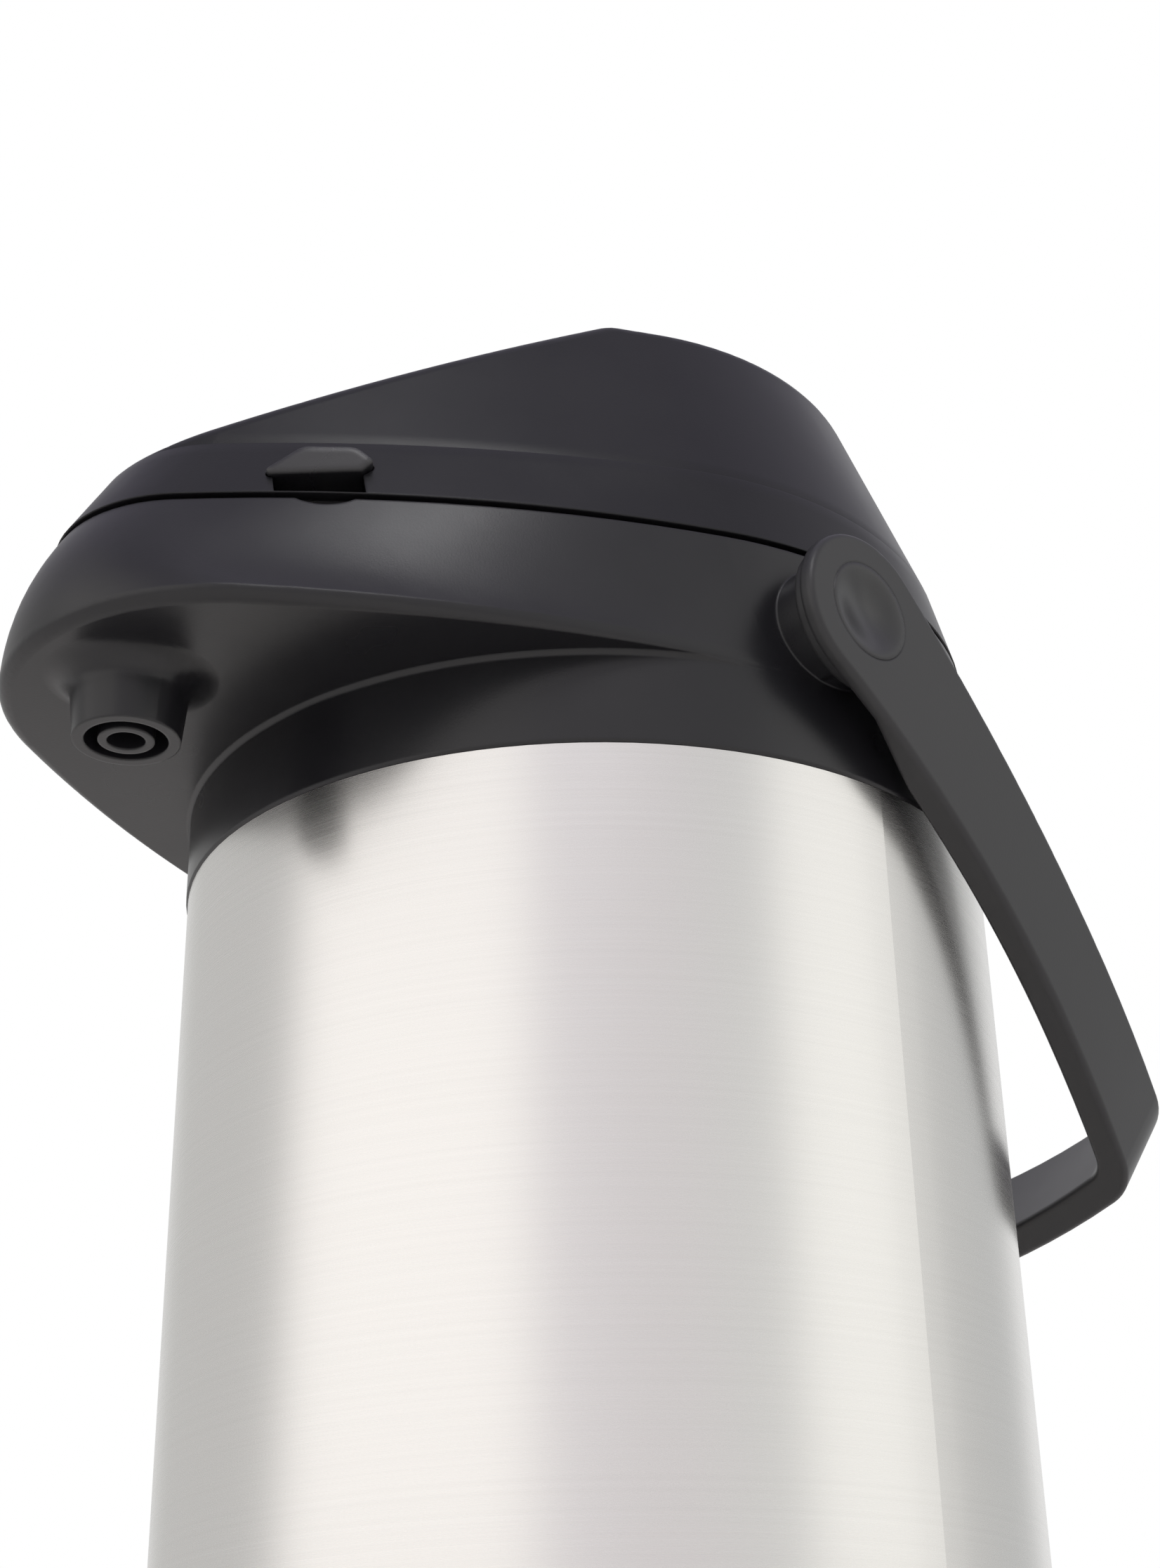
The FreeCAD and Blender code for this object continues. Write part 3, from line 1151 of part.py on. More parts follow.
# Pump: floor over the throat, cup round the well, valves, bellows and return spring
def pump_housing():
    low = float(pump_low)
    plate_top = float(flange_low)
    cup_inner = well_outer + mm.cup_gap
    cup = turned_solid([
        (0, plate_top), (mm.pump_flange, plate_top), (mm.pump_flange, z_flange),
        (cup_inner + mm.cup_wall, z_flange), (cup_inner + mm.cup_wall, z_flange + mm.cup_height),
        (cup_inner, z_flange + mm.cup_height), (cup_inner, z_flange), (0, z_flange)], y=mm.pump_y)
    taken = [upright(mm.small_screw, low, z_flange, x, y) for x, y in pillar_places]
    taken += [upright(mm.small_head + mm.fit_gap, low, plate_top, x, y) for x, y in pillar_places]
    taken.append(upright(mm.valve_stem, low, z_flange, 0, mm.pump_y))
    return cup.fuse(upright(mm.pump_plate, low, plate_top)).cut(taken).removeSplitter()


shaped("pump_housing", pump_housing())
pump_y = tied.pump_y
seal_outer = tied.seal_inner + tied.mouth_seal_width
turned("mouth_seal", [
    (tied.seal_inner, seal_low), (seal_outer, seal_low), (seal_outer, pump_low), (tied.seal_inner, pump_low)])
turned("air_valve", [
    (zero, pump_low - tied.valve_cap_height), (tied.valve_cap, pump_low - tied.valve_cap_height),
    (tied.valve_cap, pump_low), (tied.valve_stem, pump_low), (tied.valve_stem, flange_top),
    (tied.valve_knob, flange_top), (tied.valve_knob, flange_top + tied.valve_knob_height),
    (zero, flange_top + tied.valve_knob_height)], along_y=pump_y)
plate_top = flange_top + tied.valve_plate_height
turned("valve_plate", [
    (tied.valve_hole, flange_top), (tied.valve_plate, flange_top), (tied.valve_plate, plate_top),
    (tied.valve_hole, plate_top)], along_y=pump_y)
button_low = button_edge - tied.button_plate
clamp_low = button_low - tied.clamp_height
turned("bellows_clamp", [
    (tied.clamp_inner, clamp_low), (tied.clamp_outer, clamp_low), (tied.clamp_outer, button_low),
    (tied.clamp_inner, button_low)], along_y=pump_y)


def bellows():
    low = float(plate_top)
    pitch = (float(clamp_low) - low) / bellows_folds
    crests = []
    for fold in range(bellows_folds):
        crests.append((mm.bellows_inner, low + fold * pitch))
        crests.append((mm.bellows_outer, low + (fold + 0.5) * pitch))
    crests.append((mm.bellows_inner, low + bellows_folds * pitch))
    inside = [(radius - mm.bellows_wall, height) for radius, height in reversed(crests)]
    return turned_solid(crests + inside, y=mm.pump_y)


shaped("bellows", bellows())


# Two arcs that join two points and keep both directions
def twin_arcs(start, start_way, end, end_way):
    chord = end - start
    ways = start_way + end_way
    bend = 2 * (1 - start_way.dot(end_way))
    lean = chord.dot(ways)
    reach = (math.sqrt(lean ** 2 + bend * chord.dot(chord)) - lean) / bend
    meet = (start + start_way * reach + end - end_way * reach) * 0.5
    return [tangent_arc(start, start_way, meet), tangent_arc(end, end_way * -1, meet, True)]


def tangent_arc(start, way, end, backwards=False):
    chord = end - start
    along = chord.normalize()
    length = (end - start).Length
    across_way = way - along * way.dot(along)
    sine = across_way.Length
    across_way.normalize()
    bow = length / 2 * math.tan(math.asin(sine) / 2)
    middle = (start + end) * 0.5 + across_way * bow
    arc = Part.Arc(end, middle, start) if backwards else Part.Arc(start, middle, end)
    return arc.toShape()


# Coil about Z: closed end turns with a small gap, open turns between them, four steps to a turn
def coil(radius, wire, low, high, turns):
    close = wire + mm.coil_gap
    open_pitch = (high - low - wire - 2 * close) / (turns - 2)
    steps = 4 * turns
    height = low + wire / 2
    points = []
    for step in range(steps + 1):
        points.append(Vector(
            radius * math.cos(math.pi / 2 * step), radius * math.sin(math.pi / 2 * step), height))
        closed = step < 4 or step >= steps - 4
        height += (close if closed else open_pitch) / 4
    ways = []
    for step, point in enumerate(points):
        before = points[max(step - 1, 0)]
        after = points[min(step + 1, steps)]
        rise = (after.z - before.z) / (min(step + 1, steps) - max(step - 1, 0)) / (math.pi / 2)
        way = Vector(-point.y, point.x, rise)
        ways.append(way.normalize())
    edges = []
    for step in range(steps):
        edges += twin_arcs(points[step], ways[step], points[step + 1], ways[step + 1])
    path = Part.Wire(edges)
    return swept(path, wire / 2), close - wire


spring_low = float(plate_top) + mm.fit_gap
spring_high = float(button_low) - mm.fit_gap
return_spring, gap = coil(mm.spring_radius, mm.spring_wire, spring_low, spring_high, spring_turns)
print("return spring: least gap between turns %.2f mm" % gap)
return_spring.translate(Vector(0, mm.pump_y, 0))
shaped("return_spring", return_spring)


# Push button with a slot for the lock
def push_plate():
    crown = float(button_edge) + mm.button_crown
    edge = float(button_edge)
    inner = button_radius - mm.button_wall
    blank = turned_solid([
        (0, crown), (button_radius * mm.crown_share, crown - mm.button_crown / 4), (button_radius, edge),
        (button_radius, edge - mm.button_skirt), (inner, edge - mm.button_skirt),
        (inner, edge - mm.button_plate), (0, edge - mm.button_plate)])
    rim = [line for line in blank.Edges if abs(line.BoundBox.ZMin - edge) < 0.001 and
           abs(line.BoundBox.ZMax - edge) < 0.001 and line.BoundBox.XMax > button_radius - 0.001]
    blank = blank.makeFillet(mm.button_round, rim)
    gap = mm.fit_gap
    knob = mm.lock_knob_width / 2 + gap
    stem = mm.lock_stem_width / 2 + gap
    tongue = mm.lock_tongue_width / 2 + gap
    stem_end = mm.lock_stem_start + mm.lock_stem_thick + mm.lock_travel + gap
    knob_end = mm.lock_knob_start + mm.lock_knob_length + mm.lock_travel + gap
    tongue_low = z_top + mm.lock_tongue_gap - gap
    tongue_high = z_top + mm.lock_tongue_gap + mm.lock_tongue_thick + gap
    blank = blank.cut([
        block(
            -knob, knob, mm.lock_knob_start - gap, knob_end,
            edge - mm.lock_recess - mm.running_gap, crown + past),
        block(-stem, stem, mm.lock_stem_start - gap, stem_end, edge - mm.button_plate - past, crown),
        block(-tongue, tongue, mm.lock_stem_start, button_radius + past, tongue_low, tongue_high)])
    blank.translate(Vector(0, mm.pump_y, 0))
    return blank


button_radius = mm.well_inner - mm.button_gap
shaped("push_plate", push_plate())


def lock_slider():
    edge = float(button_edge)
    knob_low = edge - mm.lock_recess
    half = mm.lock_knob_width / 2
    stem = mm.lock_stem_width / 2
    tongue = mm.lock_tongue_width / 2
    tongue_low = z_top + mm.lock_tongue_gap
    knob = block(
        -half, half, mm.lock_knob_start, mm.lock_knob_start + mm.lock_knob_length, knob_low,
        knob_low + mm.lock_knob_height)
    top_edges = [edge for edge in knob.Edges if edge.BoundBox.ZMin > knob_low + mm.lock_knob_height / 2]
    knob = knob.makeFillet(mm.small_round, top_edges)
    slider = knob.fuse([
        block(
            -stem, stem, mm.lock_stem_start, mm.lock_stem_start + mm.lock_stem_thick,
            tongue_low, knob_low + past),
        block(-tongue, tongue, mm.lock_stem_start, mm.lock_tongue_end, tongue_low,
              tongue_low + mm.lock_tongue_thick)]).removeSplitter()
    slider.translate(Vector(0, mm.pump_y, 0))
    return slider


shaped("lock_slider", lock_slider())


# Squeeze latches: a tab in the lid window, a plate behind the wall and a hook arm into the collar
def latch(side):
    half = mm.latch_length / 2
    tall = mm.latch_tall / 2
    plate = half + mm.latch_margin
    arm = mm.latch_arm_width / 2
    tab = tab_prism(side, 0, -tab_back, mm.latch_proud)
    outer_edges = [edge for edge in tab.Edges if edge.BoundBox.XMin > mm.latch_proud / 2]
    tab = tab.makeFillet(mm.small_round / 2, outer_edges)
    return tab.fuse([
        block(-plate_back, -tab_back, -plate, plate, -mm.latch_recess - mm.fit_gap, tall + mm.latch_margin),
        block(-plate_back, -tab_back, -arm, arm, -mm.latch_arm_drop, -tall),
        block(-plate_back, -tab_back + mm.latch_hook, -arm, arm, -mm.latch_arm_drop,
              -mm.latch_arm_drop + mm.latch_hook_tall)]).removeSplitter()


for name, side in sides:
    frame = latch_frame(side)
    shaped("latch_" + name, placed(latch(side), frame))
    spring, gap = coil(
        mm.latch_spring_radius, mm.latch_spring_wire, 0, mm.latch_spring_length, latch_spring_turns)
    spring.rotate(Vector(0, 0, 0), Vector(0, 1, 0), -90)
    spring.translate(Vector(-plate_back, 0, 0))
    shaped("latch_spring_" + name, placed(spring, frame.multiply(spring.Placement)))
    print("latch spring %s: least gap between turns %.2f mm" % (name, gap))

# Every object is sound before anything is written
doc.recompute()
for thing in doc.Objects:
    if "Invalid" in thing.State or "Error" in thing.State:
        raise RuntimeError("%s is %s" % (thing.Name, thing.State))
for piece in pieces:
    if piece.Shape.isNull() or not piece.Shape.isValid() or piece.Shape.Volume <= 0:
        raise RuntimeError("%s has no sound solid" % piece.Label)
os.makedirs("parts", exist_ok=True)
for piece in pieces:
    piece.Shape.exportStep("parts/%s.step" % piece.Label)
    print("%-22s %d solid(s), %.0f mm3" % (piece.Label, len(piece.Shape.Solids), piece.Shape.Volume))
print("%d pieces" % len(pieces))
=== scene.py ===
import math

import bpy
from mathutils import Matrix, Vector


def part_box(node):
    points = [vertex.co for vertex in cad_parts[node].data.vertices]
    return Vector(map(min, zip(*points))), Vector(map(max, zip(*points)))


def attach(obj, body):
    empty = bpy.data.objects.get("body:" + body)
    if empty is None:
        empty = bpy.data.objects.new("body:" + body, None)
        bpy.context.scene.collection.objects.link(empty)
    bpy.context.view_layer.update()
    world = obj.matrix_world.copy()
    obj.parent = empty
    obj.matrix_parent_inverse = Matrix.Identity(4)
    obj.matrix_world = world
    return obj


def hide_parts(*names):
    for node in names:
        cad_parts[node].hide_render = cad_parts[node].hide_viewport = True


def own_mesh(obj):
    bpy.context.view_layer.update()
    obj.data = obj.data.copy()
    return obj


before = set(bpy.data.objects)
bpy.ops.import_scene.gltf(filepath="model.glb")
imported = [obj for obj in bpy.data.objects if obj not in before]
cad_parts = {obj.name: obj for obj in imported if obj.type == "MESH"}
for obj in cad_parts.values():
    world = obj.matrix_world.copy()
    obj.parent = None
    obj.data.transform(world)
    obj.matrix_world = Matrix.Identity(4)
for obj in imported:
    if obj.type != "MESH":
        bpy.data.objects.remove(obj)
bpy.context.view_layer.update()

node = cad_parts
scene = bpy.context.scene
print("frame loaded:", len(node), "parts")

# Camera of the photograph: it stands low in front, to the right, and looks up at the head

photoCamera = {
    "place": (0.32915, -0.30161, 0.08105),
    "azimuth": 47.548,   # degrees from +Y to the left
    "tilt": 26.384,      # degrees above the horizon
    "roll": -1.2228,
    "lens": 53.03,       # millimetres
    "sensor": 36,        # millimetres, along the longer side of the photograph
    "nearest": 0.01,     # metres that the camera sees between
    "farthest": 20,
}


def placeCamera():
    data = bpy.data.cameras.new("photoCamera")
    data.lens = photoCamera["lens"]
    data.sensor_width = photoCamera["sensor"]
    data.clip_start = photoCamera["nearest"]
    data.clip_end = photoCamera["farthest"]
    camera = bpy.data.objects.new("photoCamera", data)
    turn = Matrix.Rotation(math.radians(photoCamera["azimuth"]), 4, "Z")
    tilt = Matrix.Rotation(math.radians(90 + photoCamera["tilt"]), 4, "X")
    roll = Matrix.Rotation(math.radians(photoCamera["roll"]), 4, "Z")
    camera.matrix_world = Matrix.Translation(photoCamera["place"]) @ turn @ tilt @ roll
    scene.collection.objects.link(camera)
    scene.camera = camera


placeCamera()
print("camera placed")

# Node helpers: a value is a number or colour, or the output that feeds the socket


def link(tree, output, target):
    tree.links.new(output, target)


def addNode(tree, kind, **settings):
    made = tree.nodes.new(kind)
    for name, value in settings.items():
        setattr(made, name, value)
    return made


def feed(tree, socket, value):
    if isinstance(value, (int, float)):
        socket.default_value = value
    elif isinstance(value, tuple):
        socket.default_value = (*value, 1)
    else:
        link(tree, value, socket)


def mathNode(tree, operation, *values, clamp=False):
    made = addNode(tree, "ShaderNodeMath", operation=operation, use_clamp=clamp)
    for socket, value in zip(made.inputs, values):
        feed(tree, socket, value)
    return made.outputs[0]


def rangeNode(tree, value, low, high, newLow, newHigh):
    made = addNode(tree, "ShaderNodeMapRange")
    for name, number in (("From Min", low), ("From Max", high), ("To Min", newLow), ("To Max", newHigh)):
        made.inputs[name].default_value = number
    link(tree, value, made.inputs["Value"])
    return made.outputs["Result"]


def mixColours(tree, factor, first, second):
    made = addNode(tree, "ShaderNodeMix", data_type="RGBA")
    feed(tree, made.inputs["A"], first)
    feed(tree, made.inputs["B"], second)
    link(tree, factor, made.inputs["Factor"])
    return made.outputs["Result"]


def noiseNode(tree, vector, scale, detail, roughness=0.5):
    made = addNode(tree, "ShaderNodeTexNoise")
    for name, value in (("Scale", scale), ("Detail", detail), ("Roughness", roughness)):
        feed(tree, made.inputs[name], value)
    link(tree, vector, made.inputs["Vector"])
    return made.outputs["Fac"]


def bumpFrom(tree, height, strength, distance, normal=None):
    made = addNode(tree, "ShaderNodeBump")
    made.inputs["Strength"].default_value = strength
    made.inputs["Distance"].default_value = distance
    link(tree, height, made.inputs["Height"])
    if normal is not None:
        link(tree, normal, made.inputs["Normal"])
    return made.outputs["Normal"]


# Shared effects, in the pieces' own coordinates (metres)

patchRange = (0.35, 0.65)   # noise between which one colour turns into the other
glossRange = (0.3, 0.7)     # noise between which the smoothest skin turns into the roughest
edgeBreakupSettings = {"samples": 6, "perMetre": 180.0}
coarseLines = 0.12          # width of a fine hairline over that of a broad streak


def newGroup(name, inputs, outputs):
    group = bpy.data.node_groups.new(name, "ShaderNodeTree")
    for label, value in inputs.items():
        socket = group.interface.new_socket(label, in_out="INPUT", socket_type="NodeSocketFloat")
        socket.default_value = value
    for label, kind in outputs.items():
        group.interface.new_socket(label, in_out="OUTPUT", socket_type="NodeSocket" + kind)
    taken = group.nodes.new("NodeGroupInput").outputs
    given = group.nodes.new("NodeGroupOutput").inputs
    return group, taken, given


def useGroup(tree, group, **values):
    made = addNode(tree, "ShaderNodeGroup", node_tree=group)
    for name, value in values.items():
        made.inputs[name.replace("_", " ")].default_value = value
    return made.outputs


def ownPlace(tree):
    return addNode(tree, "ShaderNodeTexCoord").outputs["Object"]


def ownAxes(tree):
    split = addNode(tree, "ShaderNodeSeparateXYZ")
    link(tree, ownPlace(tree), split.inputs[0])
    return split.outputs


def buildMouldGrain():
    group, taken, given = newGroup(
        "mouldGrain", {"Grains Per Metre": 2500.0, "Patches Per Metre": 30.0},
        {"Height": "Float", "Patches": "Float"})
    place = ownPlace(group)
    fine = noiseNode(group, place, taken["Grains Per Metre"], detail=2.0, roughness=0.6)
    broad = noiseNode(group, place, taken["Patches Per Metre"], detail=3.0, roughness=0.55)
    link(group, fine, given["Height"])
    link(group, broad, given["Patches"])
    return group


# Edges painted paler: the bevel normal finds the rims, and their colour is lifted as a painted highlight,
# broken up by noise like wear
def buildEdgeWearAndHighlight():
    group, taken, given = newGroup(
        "edgeWearAndHighlight", {"Width": 0.0006, "Gain": 3.0, "Breakup": 0.5},
        {"Wear And Highlight": "Float", "Soft Normal": "Vector"})
    bevel = addNode(group, "ShaderNodeBevel", samples=edgeBreakupSettings["samples"])
    link(group, taken["Width"], bevel.inputs["Radius"])
    flat = addNode(group, "ShaderNodeNewGeometry").outputs["Normal"]
    dot = addNode(group, "ShaderNodeVectorMath", operation="DOT_PRODUCT")
    link(group, bevel.outputs["Normal"], dot.inputs[0])
    link(group, flat, dot.inputs[1])
    turned = mathNode(group, "SUBTRACT", 1.0, dot.outputs["Value"], clamp=True)
    strong = mathNode(group, "MULTIPLY", turned, taken["Gain"], clamp=True)
    edgeBreakupNoise = noiseNode(group, ownPlace(group), edgeBreakupSettings["perMetre"], detail=3.0)
    broken = mathNode(group, "MULTIPLY", rangeNode(group, edgeBreakupNoise, *patchRange, 0.0, 1.0), taken["Breakup"])
    whole = mathNode(group, "SUBTRACT", 1.0, broken, clamp=True)
    link(group, mathNode(group, "MULTIPLY", strong, whole), given["Wear And Highlight"])
    link(group, bevel.outputs["Normal"], given["Soft Normal"])
    return group


def buildHairlines():
    group, taken, given = newGroup(
        "hairlines", {"Lines Per Metre": 3500.0, "Drift Per Metre": 9.0},
        {"Height": "Float", "Streaks": "Float"})
    axes = ownAxes(group)
    joined = addNode(group, "ShaderNodeCombineXYZ")
    for axis, scale in (("X", "Drift Per Metre"), ("Y", "Drift Per Metre"), ("Z", "Lines Per Metre")):
        link(group, mathNode(group, "MULTIPLY", axes[axis], taken[scale]), joined.inputs[axis])
    fine = noiseNode(group, joined.outputs[0], 1.0, detail=3.0, roughness=0.65)
    coarse = noiseNode(group, joined.outputs[0], coarseLines, detail=2.0)
    link(group, fine, given["Height"])
    link(group, coarse, given["Streaks"])
    return group


# Height that falls by Sink where nearness is 1, with a soft edge
def sinkBy(group, nearness, taken, given):
    soft = mathNode(group, "MULTIPLY", nearness, nearness)
    sunk = mathNode(group, "MULTIPLY", soft, taken["Sink"])
    link(group, mathNode(group, "MULTIPLY", sunk, -1.0), given["Height"])


def buildSoftCrease():
    group, taken, given = newGroup(
        "softCrease", {"Level": 0.33, "Reach": 0.003, "Sink": 0.0002}, {"Height": "Float"})
    offset = mathNode(group, "SUBTRACT", ownAxes(group)["Z"], taken["Level"])
    away = mathNode(group, "DIVIDE", mathNode(group, "ABSOLUTE", offset), taken["Reach"])
    sinkBy(group, mathNode(group, "SUBTRACT", 1.0, away, clamp=True), taken, given)
    return group


def buildSoftDish():
    group, taken, given = newGroup(
        "softDish", {"Along": 0.0, "Level": 0.3, "Reach": 0.009, "Sink": 0.001}, {"Height": "Float"})
    axes = ownAxes(group)
    squares = []
    for axis, centre in (("Y", "Along"), ("Z", "Level")):
        offset = mathNode(group, "SUBTRACT", axes[axis], taken[centre])
        share = mathNode(group, "DIVIDE", offset, taken["Reach"])
        squares.append(mathNode(group, "MULTIPLY", share, share))
    away = mathNode(group, "ADD", *squares)
    sinkBy(group, mathNode(group, "SUBTRACT", 1.0, away, clamp=True), taken, given)
    return group


mouldGrain = buildMouldGrain()
edgeWearAndHighlight = buildEdgeWearAndHighlight()
hairlines = buildHairlines()
softCrease = buildSoftCrease()
softDish = buildSoftDish()
print("shared effects ready")


def newMaterial(name):
    material = bpy.data.materials.new(name)
    material.use_nodes = True
    tree = material.node_tree
    return material, tree, tree.nodes["Principled BSDF"].inputs


# Plastics and rubbers share one recipe: a grained skin, patchy gloss and edges painted paler as a
# highlight, broken up like wear

plasticSkin = {
    "roughSpread": 0.04,
    "grainHeight": 0.00006,
}

# The edge colour of each look is painted along the rims: a painted highlight, partly wear
plasticLooks = {
    "blackPlastic": {
        "colour": (0.0103, 0.0101, 0.0122), "patchColour": (0.0122, 0.012, 0.0142),
        "edgeHighlightColour": (0.04, 0.04, 0.044), "rough": 0.30, "gloss": 0.5, "grains": 2600.0,
        "patches": 28.0, "edge": 0.0007, "edgeGain": 1.6, "breakup": 0.25, "depth": 0.2},
    "handlePlastic": {
        "colour": (0.021, 0.021, 0.023), "patchColour": (0.024, 0.024, 0.026),
        "edgeHighlightColour": (0.05, 0.05, 0.054), "rough": 0.38, "gloss": 0.5, "grains": 2300.0,
        "patches": 25.0, "edge": 0.0009, "edgeGain": 0.8, "breakup": 0.25, "depth": 0.22},
    "blackRubber": {
        "colour": (0.017, 0.017, 0.017), "patchColour": (0.025, 0.024, 0.023),
        "edgeHighlightColour": (0.045, 0.044, 0.042), "rough": 0.72, "gloss": 0.35, "grains": 1500.0,
        "patches": 40.0, "edge": 0.0006, "edgeGain": 2.0, "breakup": 0.6, "depth": 0.6},
    "greyPlastic": {
        "colour": (0.24, 0.24, 0.245), "patchColour": (0.27, 0.27, 0.272),
        "edgeHighlightColour": (0.36, 0.36, 0.36), "rough": 0.44, "gloss": 0.5, "grains": 2500.0,
        "patches": 30.0, "edge": 0.0005, "edgeGain": 1.5, "breakup": 0.4, "depth": 0.3},
    "whiteAcetal": {
        "colour": (0.72, 0.71, 0.68), "patchColour": (0.78, 0.77, 0.74),
        "edgeHighlightColour": (0.84, 0.83, 0.8), "rough": 0.36, "gloss": 0.5, "grains": 2200.0,
        "patches": 30.0, "edge": 0.0004, "edgeGain": 1.5, "breakup": 0.3, "depth": 0.2},
    "sealRubber": {
        "colour": (0.038, 0.038, 0.037), "patchColour": (0.05, 0.049, 0.047),
        "edgeHighlightColour": (0.09, 0.088, 0.085), "rough": 0.5, "gloss": 0.45, "grains": 1200.0,
        "patches": 60.0, "edge": 0.0004, "edgeGain": 1.5, "breakup": 0.2, "depth": 0.3},
}
plasticLooks["lidPlastic"] = dict(
    plasticLooks["blackPlastic"], rough=0.33, gloss=0.3,
    crease={"Level": 0.3322, "Reach": 0.003, "Sink": 0.0002})
plasticLooks["latchPlastic"] = dict(
    plasticLooks["blackPlastic"], rough=0.26, gloss=0.8, edge=0.0018, edgeGain=1.2)
plasticLooks["pinPlastic"] = dict(
    plasticLooks["handlePlastic"], rough=0.24, edge=0.0015, edgeGain=0.0,
    dish={"Along": -0.01, "Level": 0.3005, "Reach": 0.0095, "Sink": 0.0014})


def plastic(name, look):
    material, tree, shader = newMaterial(name)
    grain = useGroup(tree, mouldGrain, Grains_Per_Metre=look["grains"], Patches_Per_Metre=look["patches"])
    wearAndHighlight = useGroup(tree, edgeWearAndHighlight, Width=look["edge"], Gain=look["edgeGain"], Breakup=look["breakup"])
    spread = rangeNode(tree, grain["Patches"], *patchRange, 0.0, 1.0)
    skinColour = mixColours(tree, spread, look["colour"], look["patchColour"])
    # Rims take the edge colour here: a painted highlight that is partly wear
    tone = mixColours(tree, wearAndHighlight["Wear And Highlight"], skinColour, look["edgeHighlightColour"])
    link(tree, tone, shader["Base Color"])
    low = look["rough"] - plasticSkin["roughSpread"]
    high = look["rough"] + plasticSkin["roughSpread"]
    link(tree, rangeNode(tree, grain["Patches"], *glossRange, low, high), shader["Roughness"])
    shape = wearAndHighlight["Soft Normal"]
    for form, group in (("crease", softCrease), ("dish", softDish)):
        if form in look:
            sunken = useGroup(tree, group, **look[form])
            shape = bumpFrom(tree, sunken["Height"], 1.0, 1.0, shape)
    skin = bumpFrom(tree, grain["Height"], look["depth"], plasticSkin["grainHeight"], shape)
    link(tree, skin, shader["Normal"])
    shader["Specular IOR Level"].default_value = look["gloss"]
    return material


finish = {name: plastic(name, look) for name, look in plasticLooks.items()}

# Steel of the shell: satin, with fine hairlines round the pot

steelLook = {
    "colour": (0.86, 0.85, 0.83), "streakColour": (0.84, 0.83, 0.81), "rough": 0.27,
    "roughSpread": 0.03, "lines": 9000.0, "drift": 9.0, "depth": 0.012, "lineHeight": 0.00002}


def shellSteel():
    material, tree, shader = newMaterial("shellSteel")
    brush = useGroup(
        tree, hairlines, Lines_Per_Metre=steelLook["lines"], Drift_Per_Metre=steelLook["drift"])
    spread = rangeNode(tree, brush["Streaks"], *patchRange, 0.0, 1.0)
    tone = mixColours(tree, spread, steelLook["colour"], steelLook["streakColour"])
    link(tree, tone, shader["Base Color"])
    low = steelLook["rough"] - steelLook["roughSpread"]
    high = steelLook["rough"] + steelLook["roughSpread"]
    link(tree, rangeNode(tree, brush["Height"], *glossRange, low, high), shader["Roughness"])
    skin = bumpFrom(tree, brush["Height"], steelLook["depth"], steelLook["lineHeight"])
    link(tree, skin, shader["Normal"])
    shader["Metallic"].default_value = 1.0
    return material


finish["shellSteel"] = shellSteel()

# Metals inside: bright screws and springs with softened edges, and the flask's mirror under clear glass

metalLooks = {
    "brightMetal": {
        "colour": (0.62, 0.62, 0.61), "patchColour": (0.72, 0.71, 0.69), "smoothest": 0.22,
        "roughest": 0.34, "grains": 4000.0, "patches": 120.0, "depth": 0.15, "grainHeight": 0.00003,
        "edge": 0.0003},
    "silveredGlass": {
        "colour": (0.74, 0.76, 0.75), "patchColour": (0.82, 0.83, 0.82), "smoothest": 0.05,
        "roughest": 0.11, "grains": 60.0, "patches": 14.0, "depth": 0.2, "grainHeight": 0.0004,
        "glass": 1.0, "glassRough": 0.02},
}


def metal(name, look):
    material, tree, shader = newMaterial(name)
    grain = useGroup(tree, mouldGrain, Grains_Per_Metre=look["grains"], Patches_Per_Metre=look["patches"])
    tone = mixColours(tree, grain["Patches"], look["colour"], look["patchColour"])
    link(tree, tone, shader["Base Color"])
    rough = rangeNode(tree, grain["Patches"], *glossRange, look["smoothest"], look["roughest"])
    link(tree, rough, shader["Roughness"])
    shape = useGroup(tree, edgeWearAndHighlight, Width=look["edge"])["Soft Normal"] if "edge" in look else None
    link(tree, bumpFrom(tree, grain["Height"], look["depth"], look["grainHeight"], shape), shader["Normal"])
    shader["Metallic"].default_value = 1.0
    if "glass" in look:
        shader["Coat Weight"].default_value = look["glass"]
        shader["Coat Roughness"].default_value = look["glassRough"]
    return material


finish.update({name: metal(name, look) for name, look in metalLooks.items()})
print("finishes made:", len(finish))

# Which finish each part of the frame wears

wearing = {
    "blackPlastic": [
        "collar_housing", "base_housing", "turntable", "lock_slider", "spout_pipe", "push_plate"],
    "latchPlastic": ["latch_right", "latch_left"],
    "lidPlastic": ["lid_shell"],
    "handlePlastic": ["carry_handle", "handle_washer_right", "handle_washer_left"],
    "pinPlastic": ["handle_pin_right", "handle_pin_left"],
    "blackRubber": ["foot_mat", "flask_cushion", "neck_gasket", "mouth_seal"],
    "greyPlastic": ["throat_ring", "pump_housing", "valve_plate", "bellows_clamp"],
    "whiteAcetal": ["glide_ring", "dip_tube"],
    "sealRubber": ["bellows", "air_valve", "pipe_grommet", "tube_seal", "nozzle_seal"],
    "shellSteel": ["outer_shell"],
    "silveredGlass": ["outer_flask", "inner_flask"],
    "brightMetal": [
        "pivot_washer", "pivot_screw", "throat_screws", "cover_screws", "hinge_pin", "pin_clip_right",
        "pin_clip_left", "return_spring", "latch_spring_right", "latch_spring_left"],
}


def dress(piece, name):
    slots = piece.data.materials
    slots.clear()
    slots.append(finish[name])


def dressFrame():
    for name, parts in wearing.items():
        for part in parts:
            dress(node[part], name)
    bare = sorted(set(node) - {part for parts in wearing.values() for part in parts})
    if bare:
        raise RuntimeError("no finish for " + ", ".join(bare))


dressFrame()
print("frame dressed")

